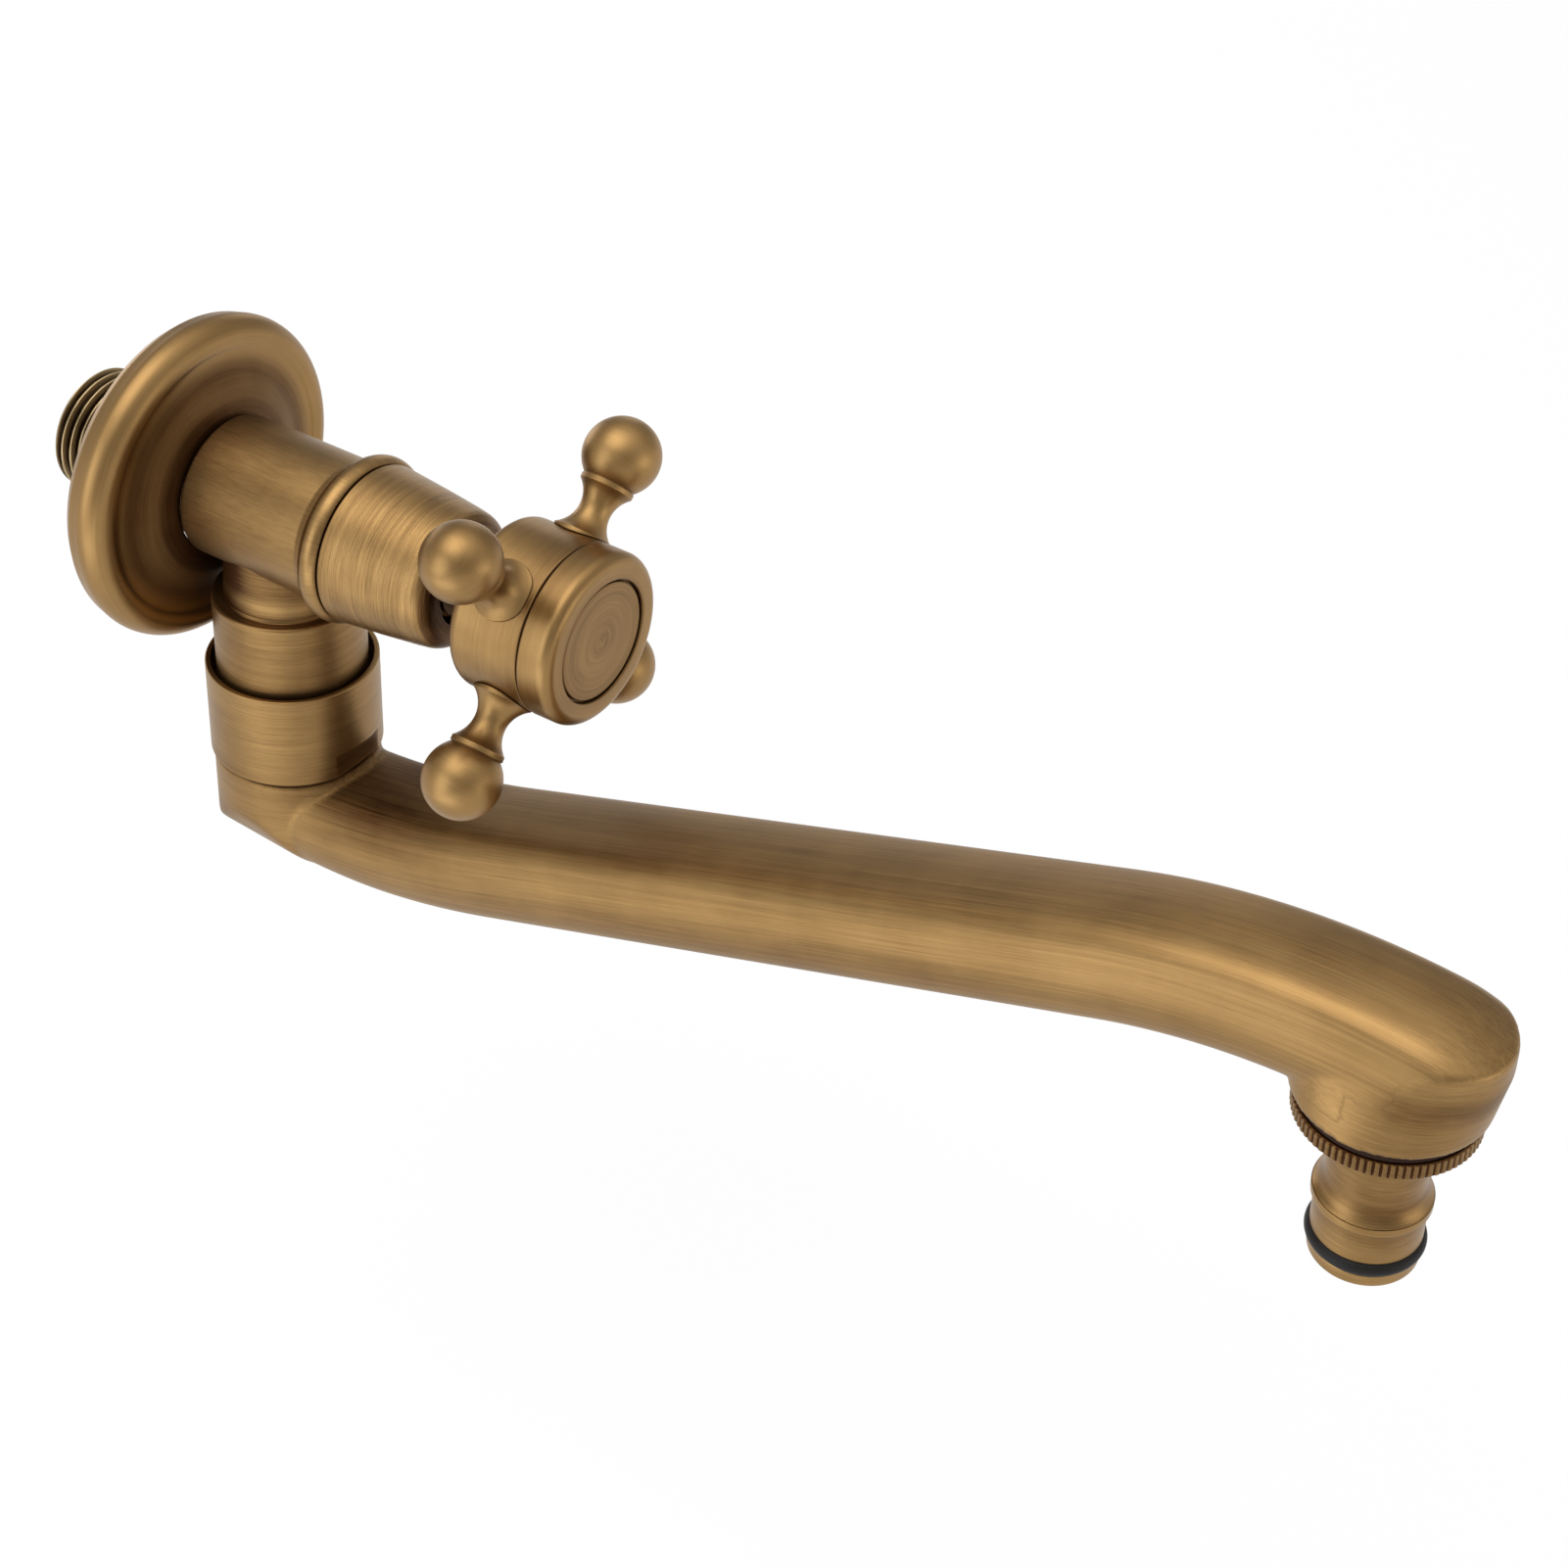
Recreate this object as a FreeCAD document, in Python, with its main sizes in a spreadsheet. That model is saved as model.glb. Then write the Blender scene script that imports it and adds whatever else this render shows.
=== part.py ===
import FreeCAD, Part
import math
import os
import Sketcher

# Wall-mounted garden faucet in brass: a threaded tail, a wall flange, a valve body
# with a quarter-turn ceramic cartridge, a cross handle with four ball-ended arms, and
# a swivelling spout that ends in a quick hose connector with an O-ring.
#
# Frame: the tap axis is the Y axis and the wall is the plane y = 0. The tail goes into
# the wall along +Y, the handle faces -Y, and +Z is up. Sizes are in millimetres.

SIZES = [
    # inlet tail, thread G 1/2
    ("thread_radius", 10.4775, "half of the 20.955 mm thread"),
    ("tail_reach", 18.5, "thread behind the wall plane"),
    ("tail_chamfer", 0.9, "lead-in of the thread"),
    ("thread_start", 0.5, "thread in front of the wall plane"),
    ("shank_radius", 10.2, "plain shank inside the flange"),
    ("waterway_radius", 6.4, "bore of the tail"),
    ("spigot_radius", 8.2, "nose of the tail inside the body"),
    ("spigot_length", 5.0, "nose from the body's rear face to the valve seat"),
    ("tail_groove_depth", 1.1, "groove of the tail's O-ring"),
    ("tail_groove_width", 1.9, "groove of the tail's O-ring"),
    ("tail_groove_place", 1.6, "from the body's rear face to the groove"),
    # wall flange
    ("flange_radius", 27.5, "outside of the rim"),
    ("rim_radius", 3.4, "rounding of the thick rim"),
    ("rim_back_radius", 4.6, "rounding from the rim down to the wall"),
    ("rim_back_inset", 1.85, "rim's outside to its foot on the wall"),
    ("rim_height", 4.5, "wall plane to the middle of the rim"),
    ("flange_hole", 10.95, "radius of the centre hole"),
    ("lip_height", 10.15, "wall plane to the lip of the centre hole"),
    ("cove_radius", 19.0, "end of the cove inside the rim"),
    ("cove_height", 7.9, "wall plane to the end of the cove"),
    ("flange_wall", 1.5, "thickness of the dish"),
    ("flange_recess", 20.4, "radius of the hollow back"),
    # valve body
    ("body_stand_off", 10.6, "wall plane to the rear face"),
    ("body_radius", 11.85, "outside of the barrel"),
    ("body_edge", 0.4, "rounding of the rear edge"),
    ("bead_crest", 14.0, "radius over the bead"),
    ("bead_round", 2.5, "radius of the half-round bead"),
    ("bead_to_front", 2.4, "middle of the bead to the front face"),
    ("bead_foot", 12.3, "radius where the flare meets the bead"),
    ("flare_length", 3.1, "flare behind the bead"),
    ("flare_gap", 0.12, "branch's fillet to the flare"),
    ("chamber_radius", 9.4, "bore round the cartridge"),
    ("mouth_depth", 9.5, "threaded mouth for the cartridge"),
    ("stub_gap", 0.07, "body's rear face to the branch's fillet"),
    ("stub_radius", 10.4, "branch under the barrel"),
    ("stub_root", 9.5, "radius of the branch at the tap axis"),
    ("stub_fillet", 0.7, "branch into barrel"),
    ("neck_top", 15.9, "tap axis to the neck's upper edge"),
    ("neck_radius", 12.35, "outside of the neck"),
    ("neck_length", 24.7, "upper edge to the lower face"),
    ("branch_bore", 5.2, "waterway down to the spout"),
    ("socket_depth", 16.7, "bore that takes the spout's spigot"),
    # cartridge
    ("cartridge_thread", 10.4775, "half of the 20.955 mm thread"),
    ("sleeve_radius", 8.9, "lower sleeve of the housing"),
    ("sleeve_bore", 7.25, "room for the discs"),
    ("collar_radius", 11.2, "collar that seats on the body"),
    ("collar_length", 3.4, "collar"),
    ("hex_across_flats", 17.0, "spanner hexagon"),
    ("hex_length", 8.0, "spanner hexagon"),
    ("gland_radius", 6.4, "nose of the housing"),
    ("gland_length", 5.6, "nose of the housing"),
    ("window_width", 9.0, "side outlets of the sleeve"),
    ("window_length", 6.5, "side outlets of the sleeve"),
    ("seal_thickness", 2.4, "rubber seat seal"),
    ("seal_stand", 1.2, "seal proud of the housing"),
    ("seal_hole", 5.2, "radius of its hole"),
    ("disc_radius", 7.2, "ceramic discs"),
    ("fixed_disc_thickness", 2.5, "lower ceramic disc"),
    ("moving_disc_thickness", 3.2, "upper ceramic disc"),
    ("port_radius", 2.1, "holes of the ceramic discs"),
    ("port_offset", 3.9, "holes from the axis"),
    ("driver_length", 3.6, "driving head of the spindle"),
    ("tongue_width", 2.6, "tongue of the spindle"),
    ("tongue_depth", 1.2, "tongue into the moving disc"),
    ("spindle_radius", 4.0, "shaft"),
    ("spline_radius", 3.7, "splined end"),
    ("spindle_groove_depth", 1.1, "grooves of the shaft"),
    ("spindle_seal_width", 1.6, "groove of the shaft's O-ring"),
    ("spindle_seal_place", 12.0, "driver to the shaft's O-ring groove"),
    ("clip_width", 0.8, "retaining clip"),
    ("clip_radius", 5.4, "outside of the clip"),
    ("clip_opening", 60.0, "open angle of the clip"),
    ("housing_seal_width", 1.9, "groove of the housing's O-ring"),
    ("housing_seal_depth", 0.9, "groove of the housing's O-ring"),
    ("housing_seal_place", 12.0, "housing's lower end to the groove"),
    # bonnet cover
    ("seam_gap", 0.25, "dark seam in front of the bead"),
    ("cover_length", 18.75, "rear edge to front edge"),
    ("cover_rear_radius", 13.15, "outside at the rear"),
    ("cover_front_radius", 11.6, "outside at the front"),
    ("cover_opening", 9.6, "front opening"),
    ("cover_wall", 1.5, "wall"),
    ("cover_edge", 1.2, "rounding of the front edge"),
    # cross handle
    ("handle_gap", 6.6, "cover to hub"),
    ("hub_length", 13.3, "rear edge to the seam"),
    ("hub_radius", 14.0, "barrel of the hub"),
    ("hub_round", 2.4, "rounded rear edge"),
    ("hub_recess", 10.4, "radius of the hollow rear"),
    ("hub_recess_depth", 3.8, "hollow rear"),
    ("hub_spline_length", 4.7, "web that holds the spline"),
    ("screw_well", 4.9, "radius of the well of the screw head"),
    ("cap_socket", 11.5, "radius of the cap's socket"),
    ("cap_socket_depth", 2.3, "socket of the cap"),
    ("arm_station", 7.7, "hub's rear edge to the arms"),
    ("rest_angle", 43.17, "first arm above the horizontal"),
    ("foot_radius", 4.9, "round foot of an arm"),
    ("foot_seat", 12.4, "tap axis to the bottom of an arm's socket"),
    ("stud_radius", 2.2, "stud of an arm"),
    ("stud_seat", 7.2, "tap axis to the stud's end"),
    ("waist_radius", 2.58, "thinnest place of an arm"),
    ("waist_place", 18.1, "tap axis to the waist"),
    ("ridge_radius", 4.35, "thin ridge under the ball"),
    ("ridge_place", 21.95, "tap axis to the ridge"),
    ("ridge_width", 0.8, "thin ridge"),
    ("ridge_bevel", 0.12, "step from the ridge to the ball"),
    ("ball_radius", 6.25, "ball"),
    ("ball_place", 27.6, "tap axis to the middle of a ball"),
    ("cap_gap", 0.15, "seam between hub and cap"),
    ("cap_length", 5.8, "cap ring"),
    ("cap_radius", 14.05, "outside of the cap ring"),
    ("cap_round", 3.0, "rounded front of the cap ring"),
    ("cap_opening", 10.1, "opening round the disc"),
    ("cap_ledge", 8.4, "opening under the disc"),
    ("disc_recess", 0.5, "disc behind the cap's front"),
    ("index_thickness", 1.6, "index disc"),
    ("index_gap", 0.45, "groove round the index disc"),
    ("screw_head_radius", 4.3, "handle screw"),
    ("screw_head_length", 2.2, "handle screw"),
    ("screw_radius", 1.9, "handle screw"),
    ("screw_length", 11.0, "handle screw under its head"),
    ("screw_slot", 1.0, "slot of the screw head"),
    # spout nut and swivel
    ("nut_top", 28.9, "tap axis to the rim"),
    ("nut_length", 17.0, "spout nut"),
    ("nut_radius", 14.2, "outside of the nut"),
    ("nut_rim_wall", 1.0, "wall at the open rim"),
    ("nut_rim_depth", 2.6, "open rim above the thread"),
    ("nut_lip", 2.0, "bottom of the nut"),
    ("nut_hole", 9.4, "radius of its hole"),
    ("flat_height", 4.4, "spanner flats of the nut"),
    ("flat_depth", 0.93, "spanner flats of the nut"),
    ("spigot_outside", 8.8, "upper end of the spout"),
    ("spigot_clearance", 0.6, "spigot below the end of its socket"),
    ("spigot_bore", 5.5, "waterway of the spigot"),
    ("ring_groove_depth", 1.5, "grooves of the spigot"),
    ("ring_groove_width", 2.3, "grooves of the spigot's O-rings"),
    ("first_ring_place", 3.4, "spigot's end to the first groove"),
    ("ring_spacing", 5.2, "first groove to second groove"),
    ("slip_ring_width", 2.7, "split ring that carries the spout"),
    ("slip_ring_radius", 12.1, "outside of the split ring"),
    ("slip_ring_cut", 1.2, "cut of the split ring"),
    # spout
    ("head_gap", 0.45, "seam between nut and spout"),
    ("head_radius", 13.7, "round head of the spout"),
    ("head_round", 5.2, "rounded bottom of the head"),
    ("arm_shoulder", 1.8, "head's upper face to the arm's top"),
    ("elbow_rise", 3.9, "head's bottom above the arm's belly"),
    ("rise_angle", 18.0, "rise of the straight arm, in degrees"),
    ("lower_bend", 145.0, "radius of the lower bend"),
    ("upper_bend", 115.0, "radius of the upper bend"),
    ("reach", 197.7, "swivel axis to nozzle axis"),
    ("crest_to_nozzle", 8.2, "highest place of the arm to the nozzle axis"),
    ("arm_width", 23.0, "across the arm"),
    ("arm_height", 17.7, "top to belly"),
    ("arm_crown", 30.0, "radius of the broad top"),
    ("arm_belly", 24.0, "radius of the belly"),
    ("arm_side", 12.0, "radius of the sides"),
    ("arm_corner", 5.5, "radius of the shoulders"),
    ("arm_wall", 2.3, "wall of the hollow arm"),
    ("nozzle_radius", 14.25, "nozzle's lower face"),
    ("nozzle_lean", 0.65, "how far the nozzle's front leans out"),
    ("nozzle_corner", 8.0, "rounded corners of the arm's end, seen from above"),
    ("nozzle_drop", 9.3, "arm's middle to the nozzle's lower face"),
    ("nozzle_bore", 9.6, "hollow of the nozzle"),
    ("nozzle_thread", 9.0, "length of the tapped mouth"),
    # hose connector
    ("washer_thickness", 1.4, "dark washer under the nozzle"),
    ("washer_radius", 13.0, "washer"),
    ("knurl_radius", 13.5, "knurled ring"),
    ("knurl_length", 2.6, "knurled ring"),
    ("shank_length", 7.0, "thread inside the nozzle"),
    ("boss_radius", 8.4, "low boss under the knurled ring"),
    ("boss_length", 1.0, "low boss"),
    ("nipple_neck", 7.35, "radius of the neck"),
    ("neck_run", 9.6, "boss to the flare"),
    ("flare_radius", 4.6, "hollow flare up to the rib"),
    ("rib_radius", 8.7, "rib"),
    ("rib_place", 14.4, "knurled ring to the rib"),
    ("rib_width", 1.3, "rib"),
    ("nipple_radius", 8.1, "plug that enters the hose coupling"),
    ("nipple_length", 26.2, "knurled ring to the tip"),
    ("nipple_bore", 5.4, "waterway of the connector"),
    ("o_ring_section", 1.2, "radius of the O-ring's section"),
    ("o_ring_outside", 8.75, "outside radius of the O-ring"),
    ("o_ring_place", 3.45, "tip to the middle of the O-ring"),
    ("tip_round", 0.8, "rounded tip"),
    # fits
    ("fit_gap", 0.05, "between pieces that don't move"),
    ("run_gap", 0.06, "radial play of a running fit"),
    ("face_gap", 0.3, "between faces that turn past each other"),
]


class Size:
    """A number together with the sheet expression that gives it."""

    def __init__(self, number, text):
        self.number = number
        self.text = text

    def join(self, other, sign, number):
        return Size(number, f"({self.text} {sign} {other.text})")

    def __add__(self, other):
        other = as_size(other)
        return self.join(other, "+", self.number + other.number)

    def __sub__(self, other):
        other = as_size(other)
        return self.join(other, "-", self.number - other.number)

    def __mul__(self, other):
        other = as_size(other)
        return self.join(other, "*", self.number * other.number)

    def __truediv__(self, other):
        other = as_size(other)
        return self.join(other, "/", self.number / other.number)

    def __neg__(self):
        return Size(-self.number, f"(0 - {self.text})")

    __radd__ = __add__
    __rmul__ = __mul__

    def __rsub__(self, other):
        return as_size(other) - self


def as_size(value):
    return value if isinstance(value, Size) else Size(float(value), f"{value:.6g}")


def sine(angle):
    return Size(math.sin(math.radians(angle.number)), f"sin({angle.text} * 1 deg)")


def cosine(angle):
    return Size(math.cos(math.radians(angle.number)), f"cos({angle.text} * 1 deg)")


def root(value):
    return Size(math.sqrt(value.number), f"sqrt({value.text})")


class Dimensions:
    """The driving dimensions by name, kept in the sheet."""

    def __init__(self, sheet, rows):
        for number, (alias, value, note) in enumerate(rows, start=1):
            sheet.set(f"A{number}", alias)
            sheet.set(f"B{number}", str(value))
            sheet.set(f"C{number}", note)
            sheet.setAlias(f"B{number}", alias)
            setattr(self, alias, Size(value, f"Sizes.{alias}"))


os.makedirs("parts", exist_ok=True)
doc = FreeCAD.newDocument("garden_faucet")
sheet = doc.addObject("Spreadsheet::Sheet", "Sizes")
d = Dimensions(sheet, SIZES)
doc.recompute()

V = FreeCAD.Vector
ZERO = as_size(0)
UP = V(0, 0, 1)
ALONG_X = V(1, 0, 0)
QUARTER = 90
parts = []


def bind(holder, path, value):
    """Ties a property, or a part of one, to the sheet."""
    holder.setExpression(path, value.text)


def bind_constraint(sketch, constraint, value):
    index = sketch.addConstraint(constraint)
    bind(sketch, f"Constraints[{index}]", value)


def arc_about(centre, start, end):
    """Arc round a centre, counter-clockwise from start to end."""
    circle = Part.Circle(centre, UP, (start - centre).Length)
    first = math.atan2(start.y - centre.y, start.x - centre.x)
    last = math.atan2(end.y - centre.y, end.x - centre.x)
    while last <= first:
        last += 2 * math.pi
    return Part.ArcOfCircle(circle, first, last)


def arc_between(start, end, radius, side):
    """Arc from start to end; side +1 puts its centre on the left of the way, -1 on the right."""
    chord = end - start
    left = V(-chord.y, chord.x, 0).normalize()
    depth = math.sqrt(max(radius * radius - chord.Length ** 2 / 4, 0))
    centre = (start + end) * 0.5 + left * (side * depth)
    if side > 0:
        return arc_about(centre, start, end)
    return arc_about(centre, end, start)


def runs_back(point):
    """Whether the curve that leads to a point is an arc stored from its far end."""
    return len(point) == 4 and point[3] < 0


def draw_outline(sketch, points):
    """Closed outline of lines and arcs, each corner tied to the sheet.

    A point is (x, y), or (x, y, radius, side) where an arc leads to it.
    """
    spots = [V(point[0].number, point[1].number, 0) for point in points]
    count = len(points)
    first = len(sketch.Geometry)
    for index in range(count):
        following = (index + 1) % count
        target = points[following]
        if len(target) == 4:
            curve = arc_between(spots[index], spots[following], target[2].number, target[3])
        else:
            curve = Part.LineSegment(spots[index], spots[following])
        sketch.addGeometry(curve, False)
        if len(target) == 4:
            round_size = Sketcher.Constraint("Radius", first + index, target[2].number)
            bind_constraint(sketch, round_size, target[2])
    for index in range(count):
        following = (index + 1) % count
        after = (index + 2) % count
        last_end = 1 if runs_back(points[following]) else 2
        next_start = 2 if runs_back(points[after]) else 1
        joint = Sketcher.Constraint("Coincident", first + index, last_end, first + following, next_start)
        sketch.addConstraint(joint)
        fix_point(sketch, first + index, last_end, points[following][0], points[following][1])


def fix_point(sketch, index, end, across, along):
    """Ties one point of a curve to the sheet."""
    if across is not None:
        level = Sketcher.Constraint("DistanceX", -1, 1, index, end, across.number)
        bind_constraint(sketch, level, across)
    if along is not None:
        level = Sketcher.Constraint("DistanceY", -1, 1, index, end, along.number)
        bind_constraint(sketch, level, along)


def draw_circle(sketch, radius, across, along):
    """Circle tied to the sheet."""
    circle = sketch.addGeometry(Part.Circle(V(across.number, along.number, 0), UP, radius.number), False)
    bind_constraint(sketch, Sketcher.Constraint("Radius", circle, radius.number), radius)
    fix_point(sketch, circle, 3, across, along)


def origin_plane(body, role):
    return next(item for item in body.Origin.OriginFeatures if item.Role == role)


def new_sketch(body, name, role):
    sketch = body.newObject("Sketcher::SketchObject", name)
    sketch.AttachmentSupport = [(origin_plane(body, role), "")]
    sketch.MapMode = "FlatFace"
    return sketch


def as_points(points):
    """Bare numbers in a point become sizes, so zero can be written plainly."""
    full = []
    for point in points:
        start = (as_size(point[0]), as_size(point[1]))
        full.append(start + ((as_size(point[2]), point[3]) if len(point) == 4 else ()))
    return full


def revolve(body, name, points, kind="Revolution"):
    """Turns an outline of (radius, height) points round the body's Z axis."""
    sketch = new_sketch(body, f"{name}_outline", "XZ_Plane")
    draw_outline(sketch, as_points(points))
    turn = body.newObject(f"PartDesign::{kind}", name)
    turn.Profile = sketch
    turn.ReferenceAxis = (sketch, ["V_Axis"])
    turn.Angle = 360
    doc.recompute()
    return turn


def new_body(label):
    body = doc.addObject("PartDesign::Body", label)
    body.Label = label
    parts.append(body)
    return body


def face_the_room(body, height=ZERO):
    """Points the body's Z axis along -Y, so that its heights are distances from the wall."""
    body.Placement = FreeCAD.Placement(V(0, 0, 0), FreeCAD.Rotation(ALONG_X, QUARTER))
    bind(body, "Placement.Base.z", height)


def stand_at(body, distance):
    """Stands an upright piece on a vertical axis, at a distance from the wall."""
    bind(body, "Placement.Base.y", -distance)


def turned(label, points):
    """A sub-part that is one turned piece."""
    body = new_body(label)
    revolve(body, f"{label}_turning", points)
    return body


def edges_where(shape, test):
    return [f"Edge{number}" for number, edge in enumerate(shape.Edges, start=1) if test(edge)]


def is_circle(edge, radius, height):
    """Whether an edge is the circle round Z with this radius at this height."""
    curve = edge.Curve
    if not hasattr(curve, "Radius"):
        return False
    near = abs(curve.Radius - radius.number) < 0.02 and abs(curve.Center.z - height.number) < 0.02
    return near and math.hypot(curve.Center.x, curve.Center.y) < 0.02


def round_circles(body, name, radius, circles, kind="Fillet"):
    """Rounds or chamfers the circular edges given as (radius, height) pairs."""
    base = body.Tip
    names = edges_where(base.Shape, lambda edge: any(is_circle(edge, *circle) for circle in circles))
    dress = body.newObject(f"PartDesign::{kind}", name)
    dress.Base = (base, names)
    bind(dress, "Radius" if kind == "Fillet" else "Size", radius)
    doc.recompute()
    return dress


def pocket(body, name, sketch, length, reverse=False, both=False):
    cut = body.newObject("PartDesign::Pocket", name)
    cut.Profile = sketch
    bind(cut, "Length", length)
    cut.Reversed = reverse
    cut.Midplane = both
    doc.recompute()
    return cut


def o_ring(label, middle_radius, section_radius, height):
    """A rubber ring of round section, round the body's Z axis."""
    body = new_body(label)
    ring = body.newObject("PartDesign::AdditiveTorus", f"{label}_torus")
    bind(ring, "Radius1", middle_radius)
    bind(ring, "Radius2", section_radius)
    ring.AttachmentSupport = [(origin_plane(body, "XY_Plane"), "")]
    ring.MapMode = "FlatFace"
    bind(ring, "AttachmentOffset.Base.z", height)
    doc.recompute()
    return body


def rectangle(sketch, width, height, middle_x, middle_y):
    """Rectangle given by its size and middle, tied to the sheet."""
    left = middle_x - width / 2
    right = middle_x + width / 2
    low = middle_y - height / 2
    high = middle_y + height / 2
    draw_outline(sketch, [(left, low), (right, low), (right, high), (left, high)])


# Places along the tap axis, as distances from the wall.
stub_at_barrel = d.stub_root + (d.stub_radius - d.stub_root) * d.body_radius / d.neck_top
spout_axis = d.body_stand_off + d.stub_gap + d.stub_fillet + stub_at_barrel
flare_start = spout_axis + stub_at_barrel + d.stub_fillet + d.flare_gap
bead_reach = d.bead_crest - d.bead_round
foot_rise = d.bead_foot - bead_reach
half_bead = root(d.bead_round * d.bead_round - foot_rise * foot_rise)
bead_place = flare_start + d.flare_length + half_bead
body_front = bead_place + d.bead_to_front
seat = d.body_stand_off + d.spigot_length
cover_back = body_front + d.seam_gap
cover_front = cover_back + d.cover_length
hub_back = cover_front + d.handle_gap
hub_front = hub_back + d.hub_length
arm_plane = hub_back + d.arm_station
cap_back = hub_front + d.cap_gap
cap_front = cap_back + d.cap_length
seal_front = seat + d.fit_gap + d.seal_thickness
fixed_disc_front = seal_front + d.fit_gap + d.fixed_disc_thickness
moving_disc_back = fixed_disc_front + d.run_gap
moving_disc_front = moving_disc_back + d.moving_disc_thickness
driver_front = moving_disc_front + d.fit_gap + d.driver_length
housing_back = seat + d.seal_stand
hex_back = body_front + d.collar_length
gland_back = hex_back + d.hex_length
gland_front = gland_back + d.gland_length
spline_front = hub_back + d.hub_recess_depth + d.hub_spline_length
disc_front = cap_front - d.disc_recess

# Heights of the upright pieces, above or below the tap axis.
neck_bottom = -(d.neck_top + d.neck_length)
socket_top = neck_bottom + d.socket_depth
nut_rim = -d.nut_top
nut_bottom = nut_rim - d.nut_length
nut_shelf = nut_bottom + d.nut_lip
slip_ring_bottom = nut_shelf + d.run_gap
slip_ring_top = slip_ring_bottom + d.slip_ring_width
head_top = nut_bottom - d.head_gap
spigot_top = socket_top - d.spigot_clearance
first_ring = spigot_top - d.first_ring_place
second_ring = first_ring - d.ring_spacing
arm_drop = d.arm_shoulder + d.arm_height / 2 - head_top
head_bottom = d.elbow_rise - (arm_drop + d.arm_height / 2)

# The arm's middle line: a bend up, a straight rise and a bend back to level and down.
rise_sine = sine(d.rise_angle)
rise_cosine = cosine(d.rise_angle)
straight_end_run = d.reach - d.crest_to_nozzle - d.upper_bend * rise_sine
straight_start_run = d.lower_bend * rise_sine
straight_length = (straight_end_run - straight_start_run) / rise_cosine
straight_start_height = -arm_drop + d.lower_bend * (1 - rise_cosine)
straight_end_height = straight_start_height + straight_length * rise_sine
crest_height = straight_end_height + d.upper_bend * (1 - rise_cosine)
nozzle_sag = d.upper_bend - root(d.upper_bend * d.upper_bend - d.crest_to_nozzle * d.crest_to_nozzle)
nozzle_middle = crest_height - nozzle_sag
nozzle_bottom = nozzle_middle - d.nozzle_drop
outlet = spout_axis + d.reach
knurl_top = nozzle_bottom - d.washer_thickness
knurl_bottom = knurl_top - d.knurl_length
nipple_tip = knurl_bottom - d.nipple_length


def make_inlet_tail():
    """Threaded tail that screws into the wall; its nose inside the body is the valve seat."""
    groove_back = d.body_stand_off + d.tail_groove_place
    groove_front = groove_back + d.tail_groove_width
    groove_floor = d.spigot_radius - d.tail_groove_depth
    body = turned("inlet_tail", [
        (d.waterway_radius, -d.tail_reach),
        (d.thread_radius, -d.tail_reach),
        (d.thread_radius, d.thread_start),
        (d.shank_radius, d.thread_start),
        (d.shank_radius, d.body_stand_off),
        (d.spigot_radius, d.body_stand_off),
        (d.spigot_radius, groove_back),
        (groove_floor, groove_back),
        (groove_floor, groove_front),
        (d.spigot_radius, groove_front),
        (d.spigot_radius, seat),
        (d.waterway_radius, seat),
    ])
    round_circles(body, "tail_lead_in", d.tail_chamfer, [(d.thread_radius, -d.tail_reach)], "Chamfer")
    face_the_room(body)
    section = d.tail_groove_depth / 2
    ring = o_ring("tail_o_ring", d.spigot_radius - section, section, (groove_back + groove_front) / 2)
    face_the_room(ring)


def make_wall_flange():
    """Bell-shaped wall flange: rolled rim, shallow cove, slope up to a thin lip, hollow back."""
    rim_middle = d.flange_radius - d.rim_radius
    body = turned("wall_flange", [
        (d.flange_hole, d.lip_height),
        (d.flange_hole, d.lip_height - d.flange_wall),
        (d.flange_recess, d.rim_height),
        (d.flange_recess, ZERO),
        (d.flange_radius - d.rim_back_inset, ZERO),
        (d.flange_radius, d.rim_height, d.rim_back_radius, 1),
        (rim_middle, d.rim_height + d.rim_radius, d.rim_radius, 1),
        (d.cove_radius, d.cove_height),
    ])
    drop = d.flange_hole - d.shank_radius - d.fit_gap
    face_the_room(body, -drop)


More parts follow.
